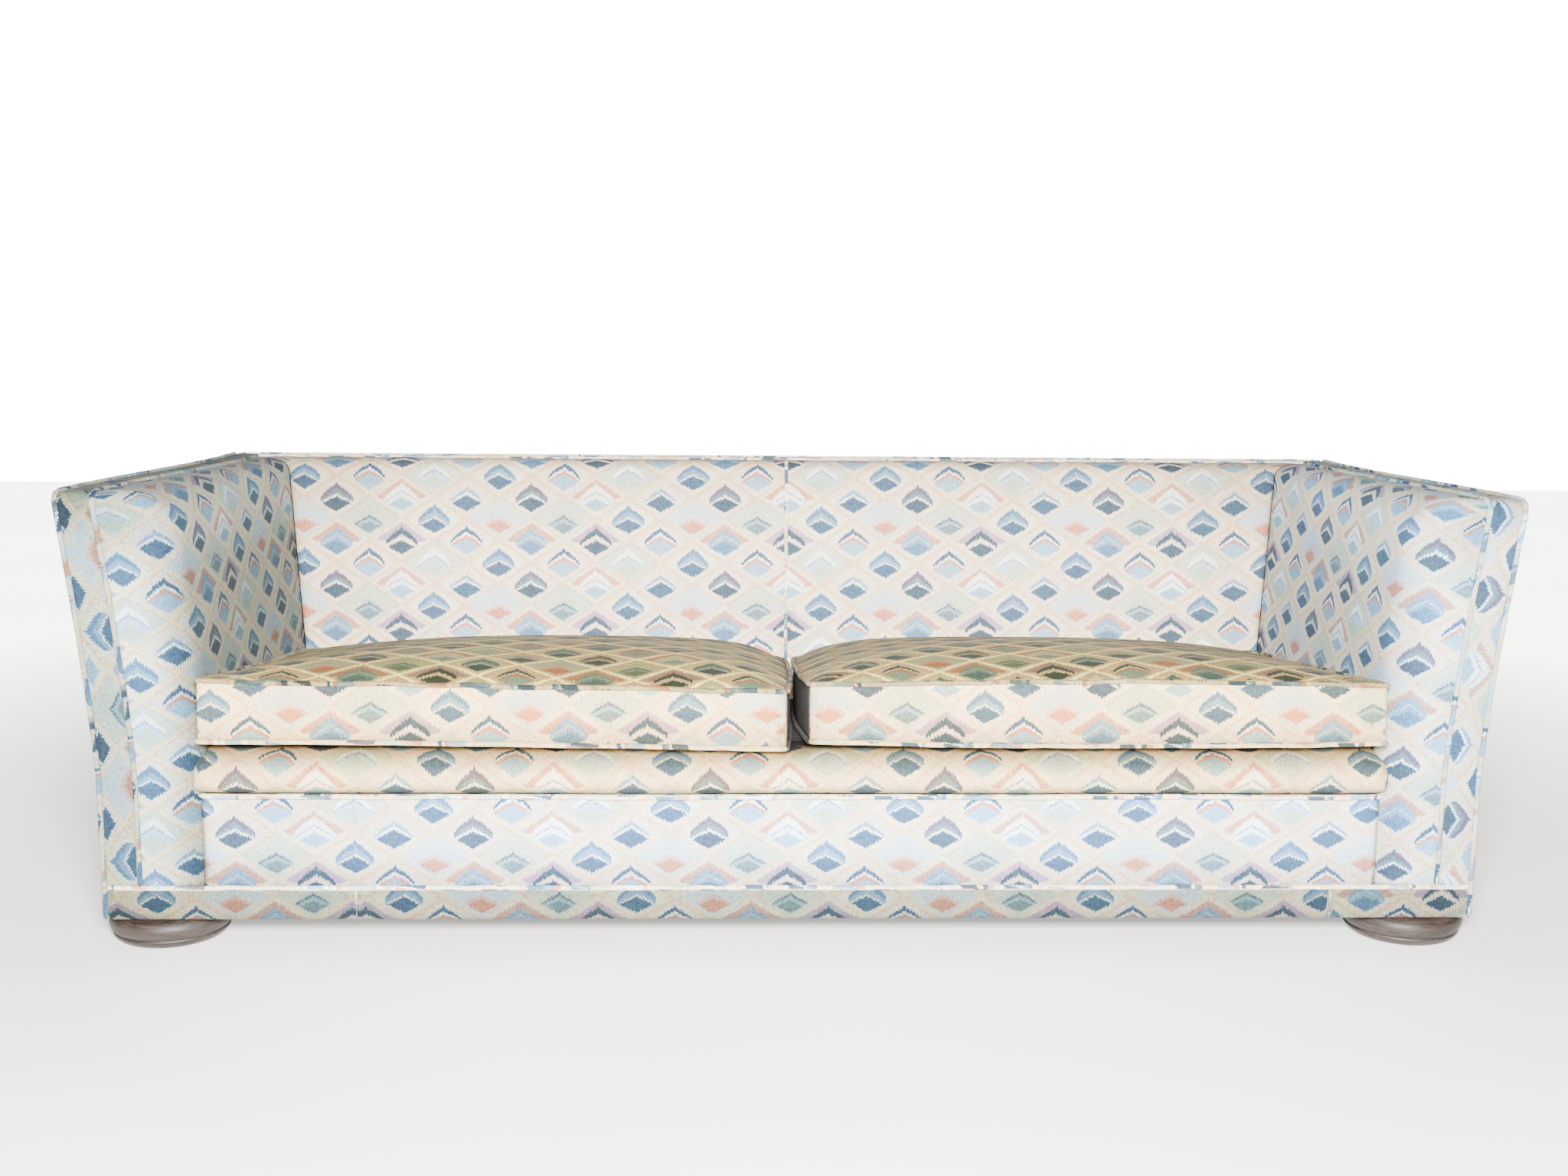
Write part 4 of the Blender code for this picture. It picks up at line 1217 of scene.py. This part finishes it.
def front_height(side, across, edge):
    """Curve through the three rises of a front edge."""
    start, middle, end = edge_rises[side, edge]
    share = (across + 1) / 2
    inner = start * (1 - share) * (1 - 2 * share) + middle * 4 * share * (1 - share)
    return inner + end * share * (2 * share - 1)


def cushion_place(side, across, along, up):
    """Point of the sewn cover before it is filled, in the cushion's own frame."""
    y = between(seam_inset, cushion_depth - seam_inset, (along + 1) / 2)
    arm_end = wall_x(front_y + y * math.cos(seat_rake), wall_foot) - cushion_side_clearance
    x = between(split_x + seam_inset, arm_end - seam_inset, (across + 1) / 2)
    fade = max(0.0, 1 - (along + 1) / 1.2)
    low, high = (front_height(side, across, edge) * fade for edge in ("lower", "upper"))
    z = between(low, cushion_height + high, up)
    z -= 0.014 * up * max(0.0, 1 - (across + 1) / 0.3) ** 2 * max(0.0, (along - 0.1) / 0.9) ** 2
    if across == -1.0:
        x -= 0.0115 * (1 - along**2)
    if across == 1.0:
        x -= 0.006 * (1 - along**2)
    if along == -1.0:
        y += 0.006 * (1 - across**2) * 0.6
    return x, y, z


def cushion_mesh(side):
    """Top, bottom and boxing as one closed mesh with even quads."""
    columns, lines = steps(cushion_columns, -1.0, 1.0), steps(cushion_lines, -1.0, 1.0)
    last_i, last_j = cushion_columns, cushion_lines
    rows = boxing_rows
    verts, index = [], {}

    def vert(level, i, j):
        key = (level, i, j)
        if key not in index:
            x, y, z = cushion_place(side, columns[i], lines[j], level / rows)
            if level in (0, rows) and 0 < i < last_i and 0 < j < last_j:
                swell = (1 - abs(columns[i]) ** (12 if columns[i] < 0 else 3)) * (1 - abs(lines[j]) ** 6)
                z += (top_crown if level else -0.001) * swell
            index[key] = len(verts)
            verts.append((side * x, y, z))
        return index[key]

    faces = []
    for level in (0, rows):
        for i in range(last_i):
            for j in range(last_j):
                corners = ((i, j), (i + 1, j), (i + 1, j + 1), (i, j + 1))
                face = [vert(level, *corner) for corner in corners]
                faces.append(face if level else face[::-1])
    kinds = ["panel"] * len(faces)
    loop = [(i, 0) for i in range(last_i)] + [(last_i, j) for j in range(last_j)]
    loop += [(i, last_j) for i in range(last_i, 0, -1)] + [(0, j) for j in range(last_j, 0, -1)]
    for level in range(rows):
        for near, far in zip(loop, loop[1:] + loop[:1]):
            low = [vert(level, *near), vert(level, *far)]
            faces.append(low + [vert(level + 1, *far), vert(level + 1, *near)])
    kinds += ["boxing"] * (len(faces) - len(kinds))
    if side < 0:
        faces = [face[::-1] for face in faces]
    seams = [[index[level, i, j] for i, j in loop] for level in (0, rows)]
    return np.array(verts), faces, kinds, seams, loop, index


def cushion_cloth(side, points, faces, kinds, loop, index):
    """Cloth coordinates: the panels as cut, the boxing along its length."""
    around = np.zeros(len(points))
    first = np.array([points[index[0, *place]] for place in loop])
    gaps = np.linalg.norm(np.roll(first, -1, 0) - first, axis=1)
    reach = np.concatenate(([0.0], np.cumsum(gaps)))[:-1]
    total = gaps.sum()
    for level in range(boxing_rows + 1):
        for place, length in zip(loop, reach):
            around[index[level, *place]] = length
    top_at, box_at = cushion_motif_places[side]
    corners = []
    for face, kind in zip(faces, kinds):
        longest = max(around[v] for v in face)
        for v in face:
            x, y, z = points[v]
            if kind == "panel":
                # The panels darken towards the back as painted shade on the far part of the top.
                shade_and_soil_share = 0.5 * float(ease(y, 0.05, 0.45))
                corners.append((x - top_at[0], y - top_at[1] - 2 * row_pitch, shade_and_soil_share, 0.0))
                continue
            length = around[v]
            if longest - length > total / 2:
                length += total
            # The boxing darkens towards its lower edge as painted shade under the cushion.
            shade_and_soil_share = 0.15 + 0.4 * (1 - float(ease(z, 0.0, 0.05)))
            # Painted shadow near black on the inner side faces, in the gap between the cushions.
            dark = 0.96 * float(ease(y, 0.001, 0.012)) if abs(x) < 0.03 else 0.0
            along = first[0][0] + side * length
            corners.append((along - box_at[0], z - box_at[1] - 2 * row_pitch, shade_and_soil_share, dark))
    return corners


def inflate(pads, frames=20):
    """Blow the sewn covers up with Blender's cloth and keep the result as mesh points."""
    scene = bpy.context.scene
    for pad, seams in pads:
        group = pad.vertex_groups.new(name="seam")
        group.add([v for seam in seams for v in seam], 1.0, "REPLACE")
        cloth = pad.modifiers.new("cloth", "CLOTH")
        cloth.settings.effector_weights.gravity = 0.0
        for key, value in cloth_settings.items():
            setattr(cloth.settings, key, value)
        cloth.point_cache.frame_start = 1
        cloth.point_cache.frame_end = frames
    for number in range(1, frames + 1):
        scene.frame_set(number)
    graph = bpy.context.evaluated_depsgraph_get()
    results = []
    for pad, _ in pads:
        shaped = pad.evaluated_get(graph).data
        flat = np.zeros(len(shaped.vertices) * 3)
        shaped.vertices.foreach_get("co", flat)
        results.append(flat.reshape(-1, 3))
        pad.modifiers.remove(pad.modifiers["cloth"])
        pad.vertex_groups.remove(pad.vertex_groups["seam"])
    scene.frame_set(1)
    return results


def puckers(points, seams):
    """Small gathers that run off the seams, as sewn cloth has."""
    line = points[[v for seam in seams for v in seam]]
    lift = np.zeros(len(points))
    batch = 2000
    for start in range(0, len(points), batch):
        part = points[start : start + batch]
        gaps = np.linalg.norm(part[:, None, :] - line[None, :, :], axis=2)
        near = gaps.min(axis=1)
        along = gaps.argmin(axis=1) * seam_step
        for k in range(len(part)):
            pleat = hum(along[k] * 42, 2.7, 0.4) + 0.5 * hum(along[k] * 95, 7.7, 1.4)
            lift[start + k] = 0.0016 * pleat * math.exp(-near[k] / 0.016) * min(1.0, near[k] / 0.004)
    return lift


def place_cushion(points):
    matrix = np.array(tilt)
    return points @ matrix[:3, :3].T + matrix[:3, 3]


def settle(rest, grown, side, seams, index):
    """Hold the blown-up cushion off its neighbours, gather it at the seams and lay its zip channel."""
    level, _, line = np.array(list(index)).T
    low, top = level == 0, level == boxing_rows
    boxing = ~low & ~top
    shift = grown - rest
    far = np.linalg.norm(shift, axis=1)
    cap = np.select((low, top), (bottom_cap, top_cap), boxing_cap)
    points = rest + shift * (np.minimum(far, cap) / np.maximum(far, 1e-9))[:, None]
    points[:, 0] = side * np.maximum(side * points[:, 0], 0.0012)
    sunk = np.where(points[:, 1] > 0.075, 0.0006, -0.0045)
    points[:, 2] = np.where(low, np.maximum(points[:, 2], sunk), points[:, 2])
    lift = puckers(points, seams)
    points[:, 2] += np.where(top, lift, 0.0)
    points[:, 1] -= np.where(boxing & (line == 0), 1.2 * lift, 0.0)
    middle_x = (split_x + wall_x(rear_y - back_top_depth, wall_foot)) / 2
    flank = np.clip((zip_length / 2 + 0.02 - np.abs(np.abs(points[:, 0]) - middle_x)) / 0.02, 0, 1)
    level_gap = np.clip((0.020 - np.abs(points[:, 2] - cushion_height / 2)) / 0.010, 0, 1)
    rear_goal = cushion_depth - between(0.0005, 0.0040, flank * level_gap)
    points[:, 1] = np.where(boxing & (line == cushion_lines), rear_goal, points[:, 1])
    return points


def cushion_welts(name, side, placed, seams):
    """Welts along the two seams; the lower one is painted near black as shadow in the gap."""

    def dark(place):
        deep = float(ease(place[1], front_y + 0.001, front_y + 0.012))
        return 0.96 * deep if abs(place[0]) < 0.026 else 0.0

    middle = placed.mean(axis=0)
    # The upper welt is darkened heavily as painted shade along the top's edge; the lower one carries
    # painted shadow in the gap.
    looks = (("lower", -0.0002, 20, 0.3, dark), ("upper", 0.0010, 21, 0.85, None))
    for seam, (label, rise, seed, welt_shade_and_soil, painted_shadow) in zip(seams, looks):
        line = placed[seam]
        outward = line - middle
        outward[:, 2] = 0
        outward /= np.linalg.norm(outward, axis=1, keepdims=True)
        line = line + outward * 0.0012
        line[:, 2] += rise
        settings = {"seed": seed + side * 2, "wobble": 0.0009, "welt_shade_and_soil": welt_shade_and_soil, "dark": painted_shadow}
        welt(f"{name}_cushion_{label}_welt", line, warm_fabric, f"{name}_cushion", closed=True, **settings)


def cushions():
    built, pads = [], []
    for name, side in both_sides:
        points, faces, kinds, seams, loop, index = cushion_mesh(side)
        wave = ripple(points * np.array((1, 1, 0.3)), 0.16, 71 + side)
        fine = ripple(points, 0.05, 75 + side)
        on_seam = np.zeros(len(points), bool)
        on_seam[seams[0] + seams[1]] = True
        high = points[:, 2] > 0.04
        points[:, 2] += np.where(~on_seam & high, 0.0035 * wave + 0.0008 * fine, 0.0)
        high = points[:, 2] > 0.04
        seam_wave = np.array([hum(p[0] * 11, p[1] * 11, side * 3.0 + p[2]) for p in points])
        points[:, 2] += np.where(on_seam & high, 0.0034 * seam_wave, 0.0)
        cloth = cushion_cloth(side, points, faces, kinds, loop, index)
        pad = finish_mesh(f"{name}_seat_cushion", points, faces, cloth, [True] * len(faces), warm_fabric)
        pad.data.materials.append(seat_fabric)
        built.append((name, side, points, seams, index))
        pads.append((pad, seams))
    shaped = inflate(pads)
    for (name, side, rest, seams, index), grown, (pad, _) in zip(built, shaped, pads):
        placed = place_cushion(settle(rest, grown, side, seams, index))
        pad.data.vertices.foreach_set("co", placed.ravel())
        levels = [level for level, _, _ in index]
        for face in pad.data.polygons:
            face.material_index = int({levels[v] for v in face.vertices} == {boxing_rows})
        pad.data.update()
        subdivision = pad.modifiers.new("soft", "SUBSURF")
        subdivision.levels = subdivision.render_levels = 1
        bpy.context.view_layer.objects.active = pad
        bpy.ops.object.modifier_apply(modifier="soft")
        body = f"{name}_cushion"
        dress(pad, body, [f"{body}_cover", f"{body}_core"])
        cushion_welts(name, side, placed, seams)


def local_blocks(name, blocks, material):
    """One mesh of small chamfered blocks, given by (centre, half-size) in the cushion's frame."""
    verts, faces = [], []
    for centre, half in blocks:
        base = len(verts)
        for inset, height in ((0.7, -1.0), (1.0, -0.55), (1.0, 0.55), (0.7, 1.0)):
            for sx, sz in ((-1, -1), (1, -1), (1, 1), (-1, 1)):
                place = np.array(centre) + np.array(half) * (sx * inset, height, sz * inset)
                verts.append(place)
        faces.append((base + 0, base + 1, base + 2, base + 3))
        for ring in range(3):
            for k in range(4):
                m = (k + 1) % 4
                low, high = base + ring * 4, base + (ring + 1) * 4
                faces.append((low + m, low + k, high + k, high + m))
        faces.append((base + 15, base + 14, base + 13, base + 12))
    placed = place_cushion(np.array(verts))
    corners = [(placed[v][0], placed[v][2]) for face in faces for v in face]
    return finish_mesh(name, placed, faces, corners, [False] * len(faces), material)


# Zips: half a tape's section as (height, how proud), and the teeth's pitch
tape_half = ((0.0068, 0.0006), (0.0045, 0.0008), (0.002, 0.0010), (0.0008, 0.0009), (0.0, 0.0003))
tooth_pitch = 0.0026


def zips():
    """Tape, teeth and slider in the rear boxing of both cushions."""
    middle_z = cushion_height / 2
    inner = cushion_depth - 0.003
    section = [(-z, out) for z, out in tape_half] + list(tape_half[-2::-1])
    middle_x = (split_x + wall_x(rear_y - back_top_depth, wall_foot)) / 2
    low_x, high_x = middle_x - zip_length / 2, middle_x + zip_length / 2
    for name, side in both_sides:

        def place(at, x):
            z, out = at
            return side * x, inner + out, middle_z + z

        points = grid(section, steps(150, low_x, high_x), place)
        placed = place_cushion(points.reshape(-1, 3)).reshape(points.shape)
        cloth = stack(points[..., 0], points[..., 2])
        core = tuple(place_cushion(np.array([[side * middle_x, 0.3, middle_z]]))[0])
        band = shell(f"{name}_zip_tape", placed, cloth, core, tape, depth=0.0009)
        dress(band, f"{name}_cushion", [f"{name}_zip"])
        teeth = []
        for k in range(int(zip_length / tooth_pitch) - 6):
            x = low_x + 0.008 + k * tooth_pitch
            z = middle_z + (0.0007 if k % 2 else -0.0007)
            teeth.append(((side * x, inner + 0.0011, z), (0.0010, 0.0007, 0.0018)))
        row = local_blocks(f"{name}_zip_teeth", teeth, brass)
        dress(row, f"{name}_cushion")
        slider_x = high_x - zip_end - slider_length / 2
        y = inner + 0.0021 + 0.0015
        blocks = [
            ((side * slider_x, y - 0.0004, middle_z), (0.0058, 0.0010, 0.0036)),
            ((side * (slider_x + 0.0022), y + 0.0006, middle_z), (0.0030, 0.0012, 0.0016)),
            ((side * (slider_x - 0.0015), y + 0.0012, middle_z), (0.0044, 0.0005, 0.0024)),
        ]
        slider = local_blocks(f"{name}_zip_pull", blocks, brass)
        dress(slider, f"{name}_zip_slider", [f"{name}_zip_slider"])


# Bun foot: (radius, height) from the floor up, with a bead line below its widest part
bun_profile = (
    (0.0, 0.0003), (0.068, 0.0), (0.074, 0.0010), (0.0795, 0.0036), (0.0835, 0.0074),
    (0.0858, 0.0106), (0.0868, 0.0122), (0.0866, 0.0136), (0.0848, 0.0145), (0.0856, 0.0154),
    (0.0878, 0.0172), (0.0898, 0.0208), (0.0914, 0.0250), (0.0920, 0.0300), (0.0912, 0.0350),
    (0.0888, 0.0395), (0.0850, 0.0430), (0.0800, 0.0458), (0.0740, 0.0472), (0.0, 0.0476),
)
bun_sides = 72


def bun_foot(name):
    low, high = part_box(name)
    centre = (low + high) / 2
    sides = bun_sides
    verts = [(centre.x, centre.y, bun_profile[0][1])]
    for radius, height in bun_profile[1:-1]:
        for k in range(sides):
            turn = 2 * math.pi * k / sides
            verts.append((centre.x + radius * math.cos(turn), centre.y + radius * math.sin(turn), height))
    verts.append((centre.x, centre.y, bun_profile[-1][1]))
    faces = []
    rings = len(bun_profile) - 2
    for k in range(sides):
        m = (k + 1) % sides
        faces.append((0, 1 + m, 1 + k))
        for ring in range(rings - 1):
            a, b = 1 + ring * sides, 1 + (ring + 1) * sides
            faces.append((a + k, a + m, b + m, b + k))
        a = 1 + (rings - 1) * sides
        faces.append((a + k, a + m, len(verts) - 1))
    corners = [verts[v][:2] for face in faces for v in face]
    foot = finish_mesh(f"{name}_turning", verts, faces, corners, [True] * len(faces), limed_oak)
    dress(foot, "frame", [name])


# Build

for name, side in both_sides:
    for build in (inside_arm, arm_band, outside_arm, arm_welts, inside_back):
        build(name, side)
    for place in ("front", "rear"):
        bun_foot(f"{name}_{place}_foot")
for build in (
    centre_back_welt, back_covers, base_covers, front_panel, front_roll,
    seat_deck, webbing, dust_cloth, cushions, zips,
):
    build()

slot_materials = {
    "hardwood": hardwood,
    "bolt_steel": steel,
    "cushion_foam": foam,
    "jute_webbing": jute,
    "limed_oak": limed_oak,
    "zip_brass": brass,
    "zip_tape": tape,
    "seat_lining": lining,
    "black_cloth": black_cloth,
    "patterned_fabric": fabric,
}
for entry in frame["record"]["materials"]:
    for node in entry.get("nodes", []):
        target = frame["nodes"][node].data.materials
        target.clear()
        target.append(slot_materials[entry["slot"]])


# Floor, light, camera


def floor():
    """Pale studio floor, faintly mottled, that glows more the further it lies from the sofa."""
    g = Graph("studio_floor")
    place = g.place()
    tone = g.tone(g.noise(place, 1.5, 4.0), 0.3, "F4F3F1", 0.7, "FBFAF8")
    away = g.node("ShaderNodeVectorMath", {0: place}, operation="LENGTH")
    stops = [(0.16, (0.25, 0.25, 0.25, 1.0)), (0.42, (1.0, 1.0, 1.0, 1.0))]
    glow = g.ramp(Wire(g, away.outputs["Value"]) * 0.14, stops)[0]
    g.set(Base_Color=tone, Roughness=0.75, Emission_Color=tone, Emission_Strength=glow * (glow * 6.0 + 1.0))
    reach = 7.0
    xs = steps(8, -reach, reach)
    points = grid(xs, xs, lambda y, x: (x, y, 0.0))
    cloth = stack(points[..., 0], points[..., 1])
    piece = shell("studio_ground", points, cloth, (0, 0, -1), g.material, depth=0.01)


def area_light(name, place, target, size, power, colour):
    data = bpy.data.lights.new(name, "AREA")
    data.shape = "RECTANGLE"
    data.size, data.size_y = size
    data.energy = power
    data.color = colour
    light = bpy.data.objects.new(name, data)
    bpy.context.scene.collection.objects.link(light)
    light.location = place
    light.rotation_euler = (Vector(target) - Vector(place)).to_track_quat("-Z", "Y").to_euler()


def world():
    """Dim warm light all round, with a plain white backdrop for the camera."""
    made = bpy.data.worlds.new("studio")
    made.use_nodes = True
    bpy.context.scene.world = made
    nodes, links = made.node_tree.nodes, made.node_tree.links
    light = nodes["Background"]
    light.inputs[0].default_value = (1.0, 0.93, 0.84, 1.0)
    light.inputs[1].default_value = 0.12
    seen = nodes.new("ShaderNodeBackground")
    seen.inputs[0].default_value = (1.0, 1.0, 1.0, 1.0)
    seen.inputs[1].default_value = 20.0
    path = nodes.new("ShaderNodeLightPath")
    blend = nodes.new("ShaderNodeMixShader")
    links.new(path.outputs["Is Camera Ray"], blend.inputs[0])
    links.new(light.outputs[0], blend.inputs[1])
    links.new(seen.outputs[0], blend.inputs[2])
    links.new(blend.outputs[0], nodes["World Output"].inputs[0])


def camera():
    """Camera at the photograph's place: its turn, tilt and roll in radians."""
    yaw, pitch, roll = -0.0322, 0.1546, 0.0094
    focal_pixels, image_pixels, sensor = 2267, 2048, 36
    right = Vector((math.cos(yaw), math.sin(yaw), 0.0))
    level = Vector((-math.sin(yaw), math.cos(yaw), 0.0))
    forward = math.cos(pitch) * level - math.sin(pitch) * Vector((0, 0, 1))
    up = math.sin(pitch) * level + math.cos(pitch) * Vector((0, 0, 1))
    across = math.cos(roll) * right + math.sin(roll) * up
    upward = math.cos(roll) * up - math.sin(roll) * right
    matrix = Matrix((across, upward, -forward)).transposed().to_4x4()
    matrix.translation = (-0.103, -2.855, 0.948)
    data = bpy.data.cameras.new("photo_camera")
    data.sensor_width = sensor
    data.lens = focal_pixels / image_pixels * sensor
    holder = bpy.data.objects.new("photo_camera", data)
    holder.matrix_world = matrix
    bpy.context.scene.collection.objects.link(holder)
    bpy.context.scene.camera = holder


floor()
world()
camera()
area_light("key", (-0.05, -2.85, 1.27), (0, 0, 0.25), (0.6, 0.4), 520, (1.0, 0.985, 0.97))
